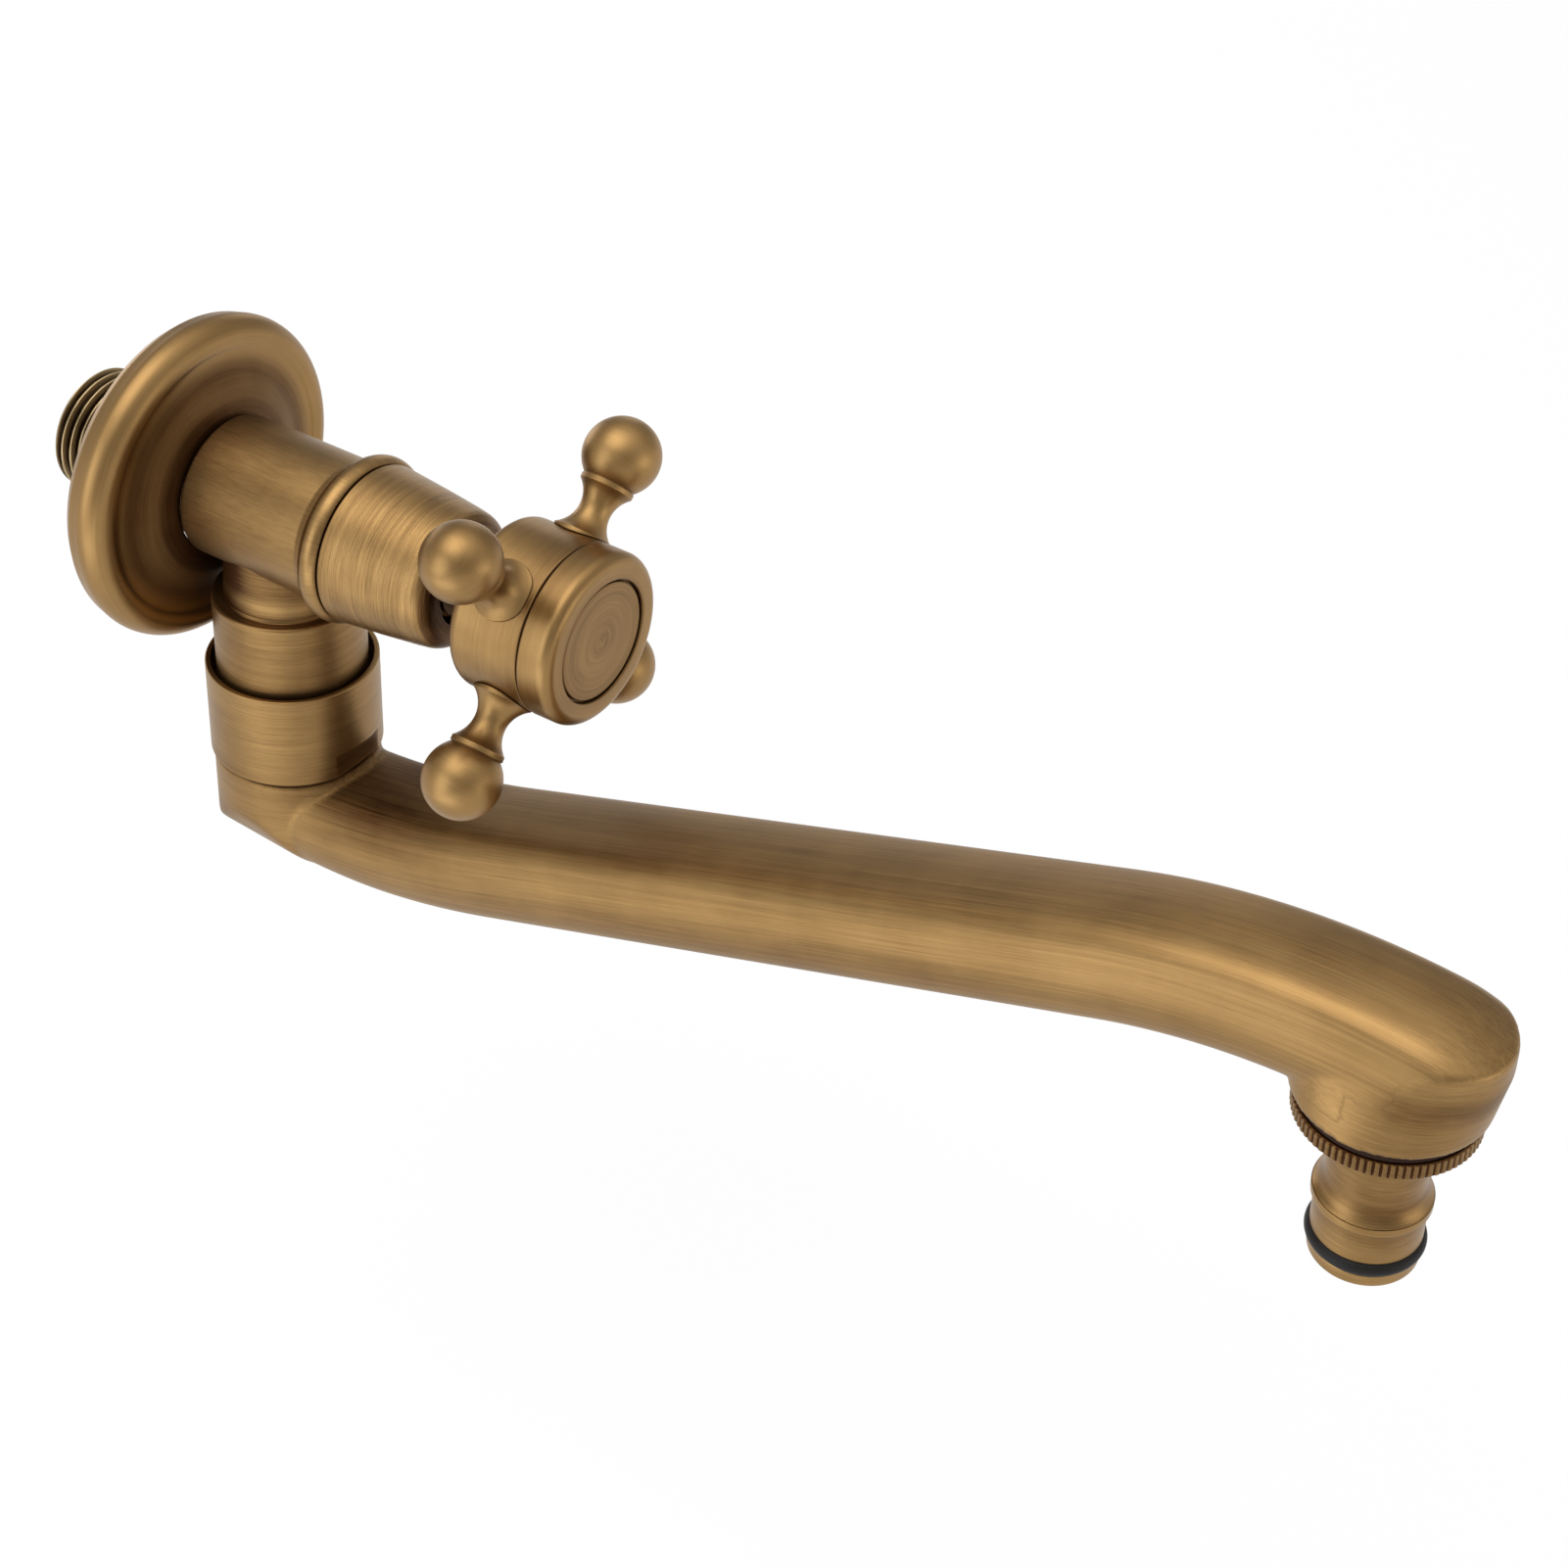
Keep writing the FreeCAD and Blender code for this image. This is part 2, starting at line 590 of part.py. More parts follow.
def make_valve_body():
    """Horizontal barrel with a bead at its front and a branch down to the spout."""
    body = new_body("valve_body")
    front_rise = root(d.bead_round * d.bead_round - d.bead_to_front * d.bead_to_front)
    revolve(body, "barrel", [
        (ZERO, d.body_stand_off),
        (d.body_radius, d.body_stand_off),
        (d.body_radius, flare_start),
        (d.bead_foot, bead_place - half_bead),
        (d.bead_crest, bead_place, d.bead_round, 1),
        (bead_reach + front_rise, body_front, d.bead_round, 1),
        (ZERO, body_front),
    ])
    sketch = body.newObject("Sketcher::SketchObject", "branch_outline")
    sketch.AttachmentSupport = [(origin_plane(body, "YZ_Plane"), "")]
    sketch.MapMode = "FlatFace"
    # on this plane x is the body's Y, which is up once placed, and y is the way from the wall
    draw_outline(sketch, as_points([
        (neck_bottom, spout_axis),
        (neck_bottom, spout_axis + d.neck_radius),
        (-d.neck_top, spout_axis + d.neck_radius),
        (-d.neck_top, spout_axis + d.stub_radius),
        (ZERO, spout_axis + d.stub_root),
        (ZERO, spout_axis),
    ]))
    branch = body.newObject("PartDesign::Revolution", "branch")
    branch.Profile = sketch
    axis_line = sketch.addGeometry(Part.LineSegment(V(neck_bottom.number, spout_axis.number, 0),
                                                    V(0, spout_axis.number, 0)), True)
    sketch.addConstraint(Sketcher.Constraint("Coincident", axis_line, 1, 0, 1))
    sketch.addConstraint(Sketcher.Constraint("Coincident", axis_line, 2, 4, 2))
    branch.ReferenceAxis = (sketch, ["Axis0"])
    branch.Angle = 360
    doc.recompute()
    barrel_edge = edges_where(branch.Shape, lambda edge: is_circle(edge, d.body_radius, d.body_stand_off))
    edge_round = body.newObject("PartDesign::Fillet", "barrel_edge")
    edge_round.Base = (branch, barrel_edge)
    bind(edge_round, "Radius", d.body_edge)
    doc.recompute()

    def in_crotch(edge):
        """The curve where the stub leaves the barrel."""
        middle = edge.BoundBox.Center
        flat = abs(edge.BoundBox.YMax - edge.BoundBox.YMin) < 0.01
        low = -d.body_radius.number - 0.05 < edge.BoundBox.YMin < -0.2 * d.body_radius.number
        near = abs(middle.z - spout_axis.number) < 0.5
        return low and near and not flat and edge.BoundBox.YMax < 0.05

    crotch = body.newObject("PartDesign::Fillet", "crotch")
    crotch.Base = (edge_round, edges_where(edge_round.Shape, in_crotch))
    bind(crotch, "Radius", d.stub_fillet)
    doc.recompute()
    revolve(body, "chamber", [
        (ZERO, d.body_stand_off - 1),
        (d.spigot_radius + d.fit_gap, d.body_stand_off - 1),
        (d.spigot_radius + d.fit_gap, seat),
        (d.chamber_radius, seat),
        (d.chamber_radius, body_front - d.mouth_depth),
        (d.cartridge_thread + d.fit_gap, body_front - d.mouth_depth),
        (d.cartridge_thread + d.fit_gap, body_front + 1),
        (ZERO, body_front + 1),
    ], "Groove")
    bore = body.newObject("Sketcher::SketchObject", "branch_bore_outline")
    bore.AttachmentSupport = [(origin_plane(body, "YZ_Plane"), "")]
    bore.MapMode = "FlatFace"
    draw_outline(bore, as_points([
        (neck_bottom - 1, spout_axis),
        (neck_bottom - 1, spout_axis + d.spigot_outside + d.run_gap),
        (socket_top, spout_axis + d.spigot_outside + d.run_gap),
        (socket_top, spout_axis + d.branch_bore),
        (ZERO, spout_axis + d.branch_bore),
        (ZERO, spout_axis),
    ]))
    axis_line = bore.addGeometry(Part.LineSegment(V(neck_bottom.number - 1, spout_axis.number, 0),
                                                  V(0, spout_axis.number, 0)), True)
    bore.addConstraint(Sketcher.Constraint("Coincident", axis_line, 1, 0, 1))
    bore.addConstraint(Sketcher.Constraint("Coincident", axis_line, 2, 4, 2))
    groove = body.newObject("PartDesign::Groove", "branch_bore")
    groove.Profile = bore
    groove.ReferenceAxis = (bore, ["Axis0"])
    groove.Angle = 360
    doc.recompute()
    face_the_room(body)


def make_cartridge():
    """Quarter-turn headwork: housing, seals, two ceramic discs, spindle and clip."""
    groove_back = housing_back + d.housing_seal_place
    groove_front = groove_back + d.housing_seal_width
    groove_floor = d.sleeve_radius - d.housing_seal_depth
    thread_back = body_front - d.mouth_depth + d.face_gap
    shaft_bore = d.spindle_radius + d.run_gap
    body = turned("cartridge_housing", [
        (d.sleeve_bore, housing_back),
        (d.sleeve_radius, housing_back),
        (d.sleeve_radius, groove_back),
        (groove_floor, groove_back),
        (groove_floor, groove_front),
        (d.sleeve_radius, groove_front),
        (d.sleeve_radius, thread_back),
        (d.cartridge_thread, thread_back),
        (d.cartridge_thread, body_front),
        (d.collar_radius, body_front),
        (d.collar_radius, hex_back),
        (d.gland_radius, hex_back),
        (d.gland_radius, gland_front),
        (shaft_bore, gland_front),
        (shaft_bore, driver_front + d.face_gap),
        (d.sleeve_bore, driver_front + d.face_gap),
    ])
    sketch = new_sketch(body, "hexagon_outline", "XY_Plane")
    bind(sketch, "AttachmentOffset.Base.z", hex_back)
    corner = d.hex_across_flats / (2 * cosine(as_size(30)))
    corners = []
    for step in range(6):
        angle = as_size(60 * step)
        corners.append((corner * cosine(angle), corner * sine(angle)))
    draw_outline(sketch, corners)
    draw_circle(sketch, shaft_bore, ZERO, ZERO)
    hexagon = body.newObject("PartDesign::Pad", "hexagon")
    hexagon.Profile = sketch
    bind(hexagon, "Length", d.hex_length)
    doc.recompute()
    window = new_sketch(body, "window_outline", "YZ_Plane")
    middle = moving_disc_back + d.window_length / 2
    rectangle(window, d.window_width, d.window_length, ZERO, middle)
    pocket(body, "windows", window, d.sleeve_radius * 3, both=True)
    face_the_room(body)
    section = (d.chamber_radius - d.run_gap - groove_floor) / 2
    ring = o_ring("housing_o_ring", d.chamber_radius - d.run_gap - section, section,
                  (groove_back + groove_front) / 2)
    face_the_room(ring)
    seal = turned("seat_seal", [
        (d.seal_hole, seat + d.fit_gap),
        (d.sleeve_bore - d.fit_gap, seat + d.fit_gap),
        (d.sleeve_bore - d.fit_gap, seal_front),
        (d.seal_hole, seal_front),
    ])
    face_the_room(seal)
    make_disc("fixed_disc", seal_front + d.fit_gap, fixed_disc_front, 0)
    moving = make_disc("moving_disc", moving_disc_back, moving_disc_front, 90)
    slot = new_sketch(moving, "slot_outline", "YZ_Plane")
    slot_depth = d.tongue_depth + d.fit_gap
    rectangle(slot, d.tongue_width + d.fit_gap * 2, slot_depth, ZERO, moving_disc_front - slot_depth / 2)
    pocket(moving, "slot", slot, d.disc_radius * 3, both=True)
    make_spindle()


def make_disc(label, back, front, turn):
    """Ceramic disc with two ports opposite each other."""
    body = turned(label, [(ZERO, back), (d.disc_radius, back), (d.disc_radius, front), (ZERO, front)])
    sketch = new_sketch(body, f"{label}_port_outline", "XY_Plane")
    bind(sketch, "AttachmentOffset.Base.z", front)
    angle = as_size(turn)
    for side in (1, -1):
        x_size = d.port_offset * cosine(angle) * side
        y_size = d.port_offset * sine(angle) * side
        draw_circle(sketch, d.port_radius, x_size, y_size)
    pocket(body, f"{label}_ports", sketch, (front - back) * 2)
    face_the_room(body)
    return body


def make_spindle():
    """Spindle with its driving head, tongue, seal groove, clip groove and splined end."""
    driver_back = moving_disc_front + d.fit_gap
    seal_back = driver_front + d.spindle_seal_place
    seal_front_edge = seal_back + d.spindle_seal_width
    clip_back = gland_front + d.face_gap
    clip_front = clip_back + d.clip_width
    groove_floor = d.spindle_radius - d.spindle_groove_depth
    spline_back = hub_back + d.hub_recess_depth - d.face_gap
    shaft_end = spline_front - d.face_gap
    body = turned("spindle", [
        (ZERO, driver_back),
        (d.disc_radius, driver_back),
        (d.disc_radius, driver_front),
        (d.spindle_radius, driver_front),
        (d.spindle_radius, seal_back),
        (groove_floor, seal_back),
        (groove_floor, seal_front_edge),
        (d.spindle_radius, seal_front_edge),
        (d.spindle_radius, clip_back - d.fit_gap),
        (groove_floor, clip_back - d.fit_gap),
        (groove_floor, clip_front + d.fit_gap),
        (d.spindle_radius, clip_front + d.fit_gap),
        (d.spindle_radius, spline_back),
        (d.spline_radius, spline_back),
        (d.spline_radius, shaft_end),
        (d.screw_radius + d.fit_gap, shaft_end),
        (d.screw_radius + d.fit_gap, shaft_end - d.screw_length - d.face_gap * 2),
        (ZERO, shaft_end - d.screw_length - d.face_gap * 2),
    ])
    sketch = new_sketch(body, "tongue_outline", "YZ_Plane")
    rectangle(sketch, d.tongue_width, d.tongue_depth, ZERO, driver_back - d.tongue_depth / 2)
    tongue = body.newObject("PartDesign::Pad", "tongue")
    tongue.Profile = sketch
    bind(tongue, "Length", d.disc_radius * 1.9)
    tongue.Midplane = True
    doc.recompute()
    face_the_room(body)
    section = d.spindle_groove_depth / 2
    ring = o_ring("spindle_o_ring", d.spindle_radius - section, section, (seal_back + seal_front_edge) / 2)
    face_the_room(ring)
    clip = turned("spindle_clip", [
        (groove_floor + d.fit_gap, clip_back),
        (d.clip_radius, clip_back),
        (d.clip_radius, clip_front),
        (groove_floor + d.fit_gap, clip_front),
    ])
    opening = new_sketch(clip, "clip_opening_outline", "XY_Plane")
    bind(opening, "AttachmentOffset.Base.z", clip_front)
    half = d.clip_opening / 2
    far = d.clip_radius * 2
    draw_outline(opening, [
        (ZERO, ZERO),
        (far * cosine(half), -far * sine(half)),
        (far * cosine(half), far * sine(half)),
    ])
    pocket(clip, "clip_opening", opening, d.clip_width * 2)
    face_the_room(clip)


def make_bonnet_cover():
    """Tapered cover over the cartridge, open in front."""
    slope = (d.cover_rear_radius - d.cover_front_radius) / d.cover_length
    bore_end = hex_back + d.fit_gap
    bore_radius = d.collar_radius + d.fit_gap
    inner_front = cover_front - d.cover_wall
    inner_front_radius = d.cover_rear_radius - slope * (inner_front - cover_back) - d.cover_wall
    body = turned("bonnet_cover", [
        (bore_radius, cover_back),
        (d.cover_rear_radius, cover_back),
        (d.cover_front_radius, cover_front),
        (d.cover_opening, cover_front),
        (d.cover_opening, inner_front),
        (inner_front_radius, inner_front),
        (bore_radius, bore_end),
    ])
    round_circles(body, "cover_edge", d.cover_edge, [(d.cover_front_radius, cover_front)])
    face_the_room(body)


def make_handle():
    """Cross handle: hub, four ball-ended arms, screw, cap ring and index disc."""
    recess_floor = hub_back + d.hub_recess_depth
    well_floor = spline_front
    socket_floor = hub_front - d.cap_socket_depth
    body = turned("handle_hub", [
        (d.spline_radius + d.fit_gap, recess_floor),
        (d.hub_recess, recess_floor),
        (d.hub_recess, hub_back),
        (d.hub_radius, hub_back),
        (d.hub_radius, hub_front),
        (d.cap_socket, hub_front),
        (d.cap_socket, socket_floor),
        (d.screw_well, socket_floor),
        (d.screw_well, well_floor),
        (d.spline_radius + d.fit_gap, well_floor),
    ])
    round_circles(body, "hub_round", d.hub_round, [(d.hub_radius, hub_back)])
    for number, (plane, flip) in enumerate(arm_directions(), start=1):
        drill_socket(body, number, plane, flip)
    turn = FreeCAD.Rotation(V(0, 1, 0), -d.rest_angle.number)
    body.Placement = FreeCAD.Placement(V(0, 0, 0), turn * FreeCAD.Rotation(ALONG_X, QUARTER))
    for number in range(1, 5):
        make_arm(number)
    screw = turned("handle_screw", [
        (ZERO, well_floor + d.fit_gap + d.screw_head_length),
        (ZERO, well_floor + d.fit_gap - d.screw_length),
        (d.screw_radius, well_floor + d.fit_gap - d.screw_length),
        (d.screw_radius, well_floor + d.fit_gap),
        (d.screw_head_radius, well_floor + d.fit_gap),
        (d.screw_head_radius, well_floor + d.fit_gap + d.screw_head_length),
    ])
    slot = new_sketch(screw, "screw_slot_outline", "YZ_Plane")
    rectangle(slot, d.screw_slot, d.screw_head_length,
              ZERO, well_floor + d.fit_gap + d.screw_head_length)
    pocket(screw, "screw_slot", slot, d.screw_head_radius * 3, both=True)
    face_the_room(screw)
    shelf = disc_front - d.index_thickness - d.fit_gap
    ring = turned("cap_ring", [
        (d.cap_ledge, socket_floor + d.fit_gap),
        (d.cap_socket - d.fit_gap, socket_floor + d.fit_gap),
        (d.cap_socket - d.fit_gap, cap_back),
        (d.cap_radius, cap_back),
        (d.cap_radius, cap_front),
        (d.cap_opening, cap_front),
        (d.cap_opening, shelf),
        (d.cap_ledge, shelf),
    ])
    round_circles(ring, "cap_front_round", d.cap_round, [(d.cap_radius, cap_front)])
    face_the_room(ring)
    disc = turned("index_disc", [
        (ZERO, shelf + d.fit_gap),
        (d.cap_opening - d.index_gap, shelf + d.fit_gap),
        (d.cap_opening - d.index_gap, disc_front),
        (ZERO, disc_front),
    ])
    face_the_room(disc)


def arm_directions():
    """Plane and side of each radial socket, in the hub's own frame."""
    return [("YZ_Plane", False), ("XZ_Plane", True), ("YZ_Plane", True), ("XZ_Plane", False)]


def drill_socket(body, number, plane, flip):
    """Round seat for one arm's foot and a hole for its stud."""
    side = -1 if flip else 1
    for name, radius, floor in (("seat", d.foot_radius, d.foot_seat), ("hole", d.stud_radius, d.stud_seat)):
        sketch = new_sketch(body, f"socket_{number}_{name}_outline", plane)
        draw_circle(sketch, radius + d.fit_gap, ZERO, arm_plane)
        bind(sketch, "AttachmentOffset.Base.z", (floor - d.fit_gap) * side)
        before = body.Shape.Volume
        cut = pocket(body, f"socket_{number}_{name}", sketch, d.hub_radius * 2, reverse=not flip)
        if body.Shape.Volume >= before - 0.01:
            raise RuntimeError(f"{cut.Name} cut nothing")


def make_arm(number):
    """One turned arm: stud, round foot, waisted neck, thin ridge and ball."""
    foot_top = d.hub_radius
    waist_rise = d.foot_radius - d.waist_radius
    lower_run = d.waist_place - foot_top
    lower_radius = (lower_run * lower_run + waist_rise * waist_rise) / (2 * waist_rise)
    upper_run = d.ridge_place - d.waist_place
    ridge_rise = d.ridge_radius - d.waist_radius
    upper_radius = (upper_run * upper_run + ridge_rise * ridge_rise) / (2 * ridge_rise)
    ridge_top = d.ridge_place + d.ridge_width
    ball_bottom = d.ball_place - root(d.ball_radius * d.ball_radius - d.ridge_radius * d.ridge_radius)
    tip = d.ball_place + d.ball_radius
    body = turned(f"handle_arm_{number}", [
        (ZERO, d.stud_seat),
        (d.stud_radius, d.stud_seat),
        (d.stud_radius, d.foot_seat),
        (d.foot_radius, d.foot_seat),
        (d.foot_radius, foot_top),
        (d.waist_radius, d.waist_place, lower_radius, -1),
        (d.ridge_radius, d.ridge_place, upper_radius, -1),
        (d.ridge_radius, ridge_top),
        (d.ridge_radius - d.ridge_bevel, ball_bottom),
        (d.ball_radius, d.ball_place, d.ball_radius, 1),
        (ZERO, tip, d.ball_radius, 1),
    ])
    around = QUARTER * number - d.rest_angle.number
    body.Placement = FreeCAD.Placement(V(0, 0, 0), FreeCAD.Rotation(V(0, 1, 0), around))
    bind(body, "Placement.Base.y", -arm_plane)


def make_spout_nut():
    """Plain round nut that holds the spout under the neck, with two spanner flats."""
    thread_top = nut_rim - d.nut_rim_depth
    thread_radius = d.neck_radius + d.fit_gap
    body = turned("spout_nut", [
        (d.nut_hole, nut_bottom),
        (d.nut_radius, nut_bottom),
        (d.nut_radius, nut_rim),
        (d.nut_radius - d.nut_rim_wall, nut_rim),
        (d.nut_radius - d.nut_rim_wall, thread_top),
        (thread_radius, thread_top),
        (thread_radius, nut_shelf),
        (d.nut_hole, nut_shelf),
    ])
    flats = new_sketch(body, "flats_outline", "XY_Plane")
    bind(flats, "AttachmentOffset.Base.z", nut_bottom)
    inside = d.nut_radius - d.flat_depth
    outside = d.nut_radius + 2
    for side in (1, -1):
        draw_outline(flats, [(-outside, inside * side), (outside, inside * side),
                             (outside, outside * side), (-outside, outside * side)])
    pocket(body, "flats", flats, d.flat_height, reverse=True)
    stand_at(body, spout_axis)
    ring = turned("slip_ring", [
        (d.spigot_outside - d.ring_groove_depth + d.fit_gap, slip_ring_bottom),
        (d.slip_ring_radius, slip_ring_bottom),
        (d.slip_ring_radius, slip_ring_top),
        (d.spigot_outside - d.ring_groove_depth + d.fit_gap, slip_ring_top),
    ])
    split = new_sketch(ring, "split_outline", "YZ_Plane")
    rectangle(split, d.slip_ring_cut, d.slip_ring_width * 2, ZERO, slip_ring_top - d.slip_ring_width / 2)
    pocket(ring, "split", split, d.slip_ring_radius * 2, reverse=True)
    stand_at(ring, spout_axis)
    section = (d.ring_groove_depth + d.run_gap / 2) / 2
    for label, place in (("upper_spout_o_ring", first_ring), ("lower_spout_o_ring", second_ring)):
        seal = o_ring(label, d.spigot_outside + d.run_gap / 2 - section, section,
                      place - d.ring_groove_width / 2)
        stand_at(seal, spout_axis)


def circle_crossing(first, first_radius, second, second_radius):
    """Crossing point, on the right-hand side, of two circles about first and second."""
    way = second - first
    length = way.Length
    along = (first_radius ** 2 - second_radius ** 2 + length ** 2) / (2 * length)
    off = math.sqrt(first_radius ** 2 - along ** 2)
    unit = way / length
    base = first + unit * along
    side = V(-unit.y, unit.x, 0) * off
    candidates = [base + side, base - side]
    return max(candidates, key=lambda spot: spot.x)


def oval_section(name, width, height, run, rise, tilt):
    """Arm's section: crowned top and belly, bowed sides and four rounded shoulders, all tangent.

    The shoulder's centre is where the circles of the top and the side, both less the
    shoulder's radius, cross.
    """
    sketch = doc.addObject("Sketcher::SketchObject", name)
    corner = d.arm_corner.number
    top_centre = V(0, height.number / 2 - d.arm_crown.number, 0)
    belly_centre = V(0, d.arm_belly.number - height.number / 2, 0)
    side_radius = d.arm_side
    side_centre = V(width.number / 2 - side_radius.number, 0, 0)
    high = circle_crossing(top_centre, d.arm_crown.number - corner, side_centre,
                           side_radius.number - corner)
    low = circle_crossing(belly_centre, d.arm_belly.number - corner, side_centre,
                          side_radius.number - corner)

    def touch(centre, inner):
        return inner + (inner - centre).normalize() * corner

    def flipped(spot):
        return V(-spot.x, spot.y, 0)

    top_right = touch(top_centre, high)
    right_high = touch(side_centre, high)
    right_low = touch(side_centre, low)
    belly_right = touch(belly_centre, low)
    curves = [
        arc_about(top_centre, top_right, flipped(top_right)),
        arc_about(flipped(high), flipped(top_right), flipped(right_high)),
        arc_about(flipped(side_centre), flipped(right_high), flipped(right_low)),
        arc_about(flipped(low), flipped(right_low), flipped(belly_right)),
        arc_about(belly_centre, flipped(belly_right), belly_right),
        arc_about(low, belly_right, right_low),
        arc_about(side_centre, right_low, right_high),
        arc_about(high, right_high, top_right),
    ]
    for curve in curves:
        sketch.addGeometry(curve, False)
    for index in range(8):
        sketch.addConstraint(Sketcher.Constraint("Tangent", index, 2, (index + 1) % 8, 1))
    for index in (0, 4):
        sketch.addConstraint(Sketcher.Constraint("PointOnObject", index, 3, -2))
    for index in (2, 6):
        sketch.addConstraint(Sketcher.Constraint("PointOnObject", index, 3, -1))
    for index in (1, 3, 5, 7):
        bind_constraint(sketch, Sketcher.Constraint("Radius", index, corner), d.arm_corner)
    for index, radius in ((0, d.arm_crown), (2, d.arm_side), (4, d.arm_belly), (6, d.arm_side)):
        bind_constraint(sketch, Sketcher.Constraint("Radius", index, radius.number), radius)
    level = height / 2 - d.arm_crown
    bind_constraint(sketch, Sketcher.Constraint("DistanceY", -1, 1, 0, 3, level.number), level)
    level = d.arm_belly - height / 2
    bind_constraint(sketch, Sketcher.Constraint("DistanceY", -1, 1, 4, 3, level.number), level)
    shift = width / 2 - d.arm_side
    bind_constraint(sketch, Sketcher.Constraint("DistanceX", -1, 1, 6, 3, shift.number), shift)
    shift = -shift
    bind_constraint(sketch, Sketcher.Constraint("DistanceX", -1, 1, 2, 3, shift.number), shift)
    place_section(sketch, run, rise, tilt)
    return sketch


def place_section(sketch, run, rise, tilt):
    """Stands a section square to the arm, a run away from the swivel axis."""
    sketch.Placement = FreeCAD.Placement(V(0, 0, 0), FreeCAD.Rotation(ALONG_X, QUARTER - tilt.number))
    bind(sketch, "Placement.Base.y", -run)
    bind(sketch, "Placement.Base.z", rise)
    bind(sketch, "Placement.Rotation.Angle", (QUARTER - tilt) * Size(1, "1 deg"))


def arm_stations():
    """Stations of the arm's sections: (name, run, rise, tilt)."""
    stations = []
    for name, share in (("start", 0.0), ("bend_low", 0.5)):
        angle = d.rise_angle * share
        stations.append((name, d.lower_bend * sine(angle),
                         -arm_drop + d.lower_bend * (1 - cosine(angle)), angle))
    for name, share in (("rise_start", 0.0), ("rise_low", 0.33), ("rise_high", 0.67), ("rise_end", 1.0)):
        stations.append((name, straight_start_run + straight_length * rise_cosine * share,
                         straight_start_height + straight_length * rise_sine * share, d.rise_angle))
    crest_run = d.reach - d.crest_to_nozzle
    for name, share in (("bend_high", 0.5), ("crest", 0.0), ("end_near", -0.3), ("end", -0.75)):
        angle = d.rise_angle * share
        stations.append((name, crest_run - d.upper_bend * sine(angle),
                         crest_height - d.upper_bend * (1 - cosine(angle)), angle))
    return stations


def loft(name, sections):
    """Smooth solid through sections."""
    solid = doc.addObject("Part::Loft", name)
    solid.Sections = sections
    solid.Solid = True
    solid.Ruled = len(sections) == 2
    doc.recompute()
    return solid


def plan_section(name, height, radius=None):
    """Outline of the arm's end from above, in eight curves about the nozzle's axis.

    Four sides and four rounded corners. With a radius, the same eight corners lie on a
    circle instead, so that a loft joins the two outlines curve to curve.
    """
    half = d.arm_width / 2 + d.fit_gap
    front = d.nozzle_radius + d.nozzle_lean
    corner = d.nozzle_corner
    spots = [(half, corner - front), (half, front - corner),
             (half - corner, front), (corner - half, front),
             (-half, front - corner), (-half, corner - front),
             (corner - half, -front), (half - corner, -front)]
    points = []
    for index, (across, along) in enumerate(spots):
        if radius is not None:
            scale = radius / root(across * across + along * along)
            points.append((across * scale, along * scale, radius, 1))
        elif index % 2 == 0:
            points.append((across, along, corner, 1))
        else:
            points.append((across, along))
    sketch = doc.addObject("Sketcher::SketchObject", name)
    draw_outline(sketch, as_points(points))
    bind(sketch, "Placement.Base.y", -d.reach)
    bind(sketch, "Placement.Base.z", height)
    doc.recompute()
    return sketch


def cylinder(name, radius, bottom, top, run=ZERO):
    solid = doc.addObject("Part::Cylinder", name)
    bind(solid, "Radius", radius)
    bind(solid, "Height", top - bottom)
    bind(solid, "Placement.Base.z", bottom)
    bind(solid, "Placement.Base.y", -run)
    return solid


def make_spout():
    """Hollow S-shaped spout: head with spigot, crowned arm and an end that becomes a round nozzle."""
    outer = []
    inner = []
    for name, run, rise, tilt in arm_stations():
        lift = d.elbow_rise if name == "start" else ZERO
        height = d.arm_height - lift
        middle = rise + lift / 2
        outer.append(oval_section(f"section_{name}", d.arm_width, height, run, middle, tilt))
        if name not in ("end", "end_near"):
            inner.append(bore_section(f"bore_{name}", height, run, middle, tilt))
    arm = loft("arm_outside", outer)
    hollow = loft("arm_hollow", inner)
    shoulder = plan_section("nozzle_shoulder", nozzle_middle)
    nozzle = loft("nozzle", [plan_section("nozzle_foot", nozzle_bottom, d.nozzle_radius), shoulder])
    end_block = doc.addObject("Part::Extrusion", "end_block")
    end_block.Base = shoulder
    end_block.Dir = UP
    end_block.Solid = True
    bind(end_block, "LengthFwd", d.arm_height)
    keep = doc.addObject("Part::Box", "arm_trim")
    bind(keep, "Width", d.reach)
    bind(keep, "Length", d.arm_width * 2)
    bind(keep, "Height", arm_drop * 4)
    bind(keep, "Placement.Base.x", -d.arm_width)
    bind(keep, "Placement.Base.y", -d.reach)
    bind(keep, "Placement.Base.z", -arm_drop * 3)
    envelope = doc.addObject("Part::MultiFuse", "envelope")
    envelope.Shapes = [keep, nozzle, end_block]
    trimmed = doc.addObject("Part::MultiCommon", "arm_trimmed")
    trimmed.Shapes = [arm, envelope]
    doc.recompute()
    head = make_spout_head()
    outside = doc.addObject("Part::MultiFuse", "spout_outside")
    outside.Shapes = [head, trimmed, nozzle]
    outside.Refine = True
    inlet_bore = cylinder("spigot_bore", d.spigot_bore, -arm_drop, spigot_top + 1)
    outlet_bore = cylinder("nozzle_mouth", d.nozzle_bore, nozzle_bottom - 1,
                           nozzle_bottom + d.nozzle_thread, d.reach)
    waterway = doc.addObject("Part::MultiFuse", "spout_waterway")
    waterway.Shapes = [hollow, inlet_bore, outlet_bore]
    spout = doc.addObject("Part::Cut", "spout")
    spout.Base = outside
    spout.Tool = waterway
    spout.Label = "spout"
    bind(spout, "Placement.Base.y", -spout_axis)
    doc.recompute()
    parts.append(spout)


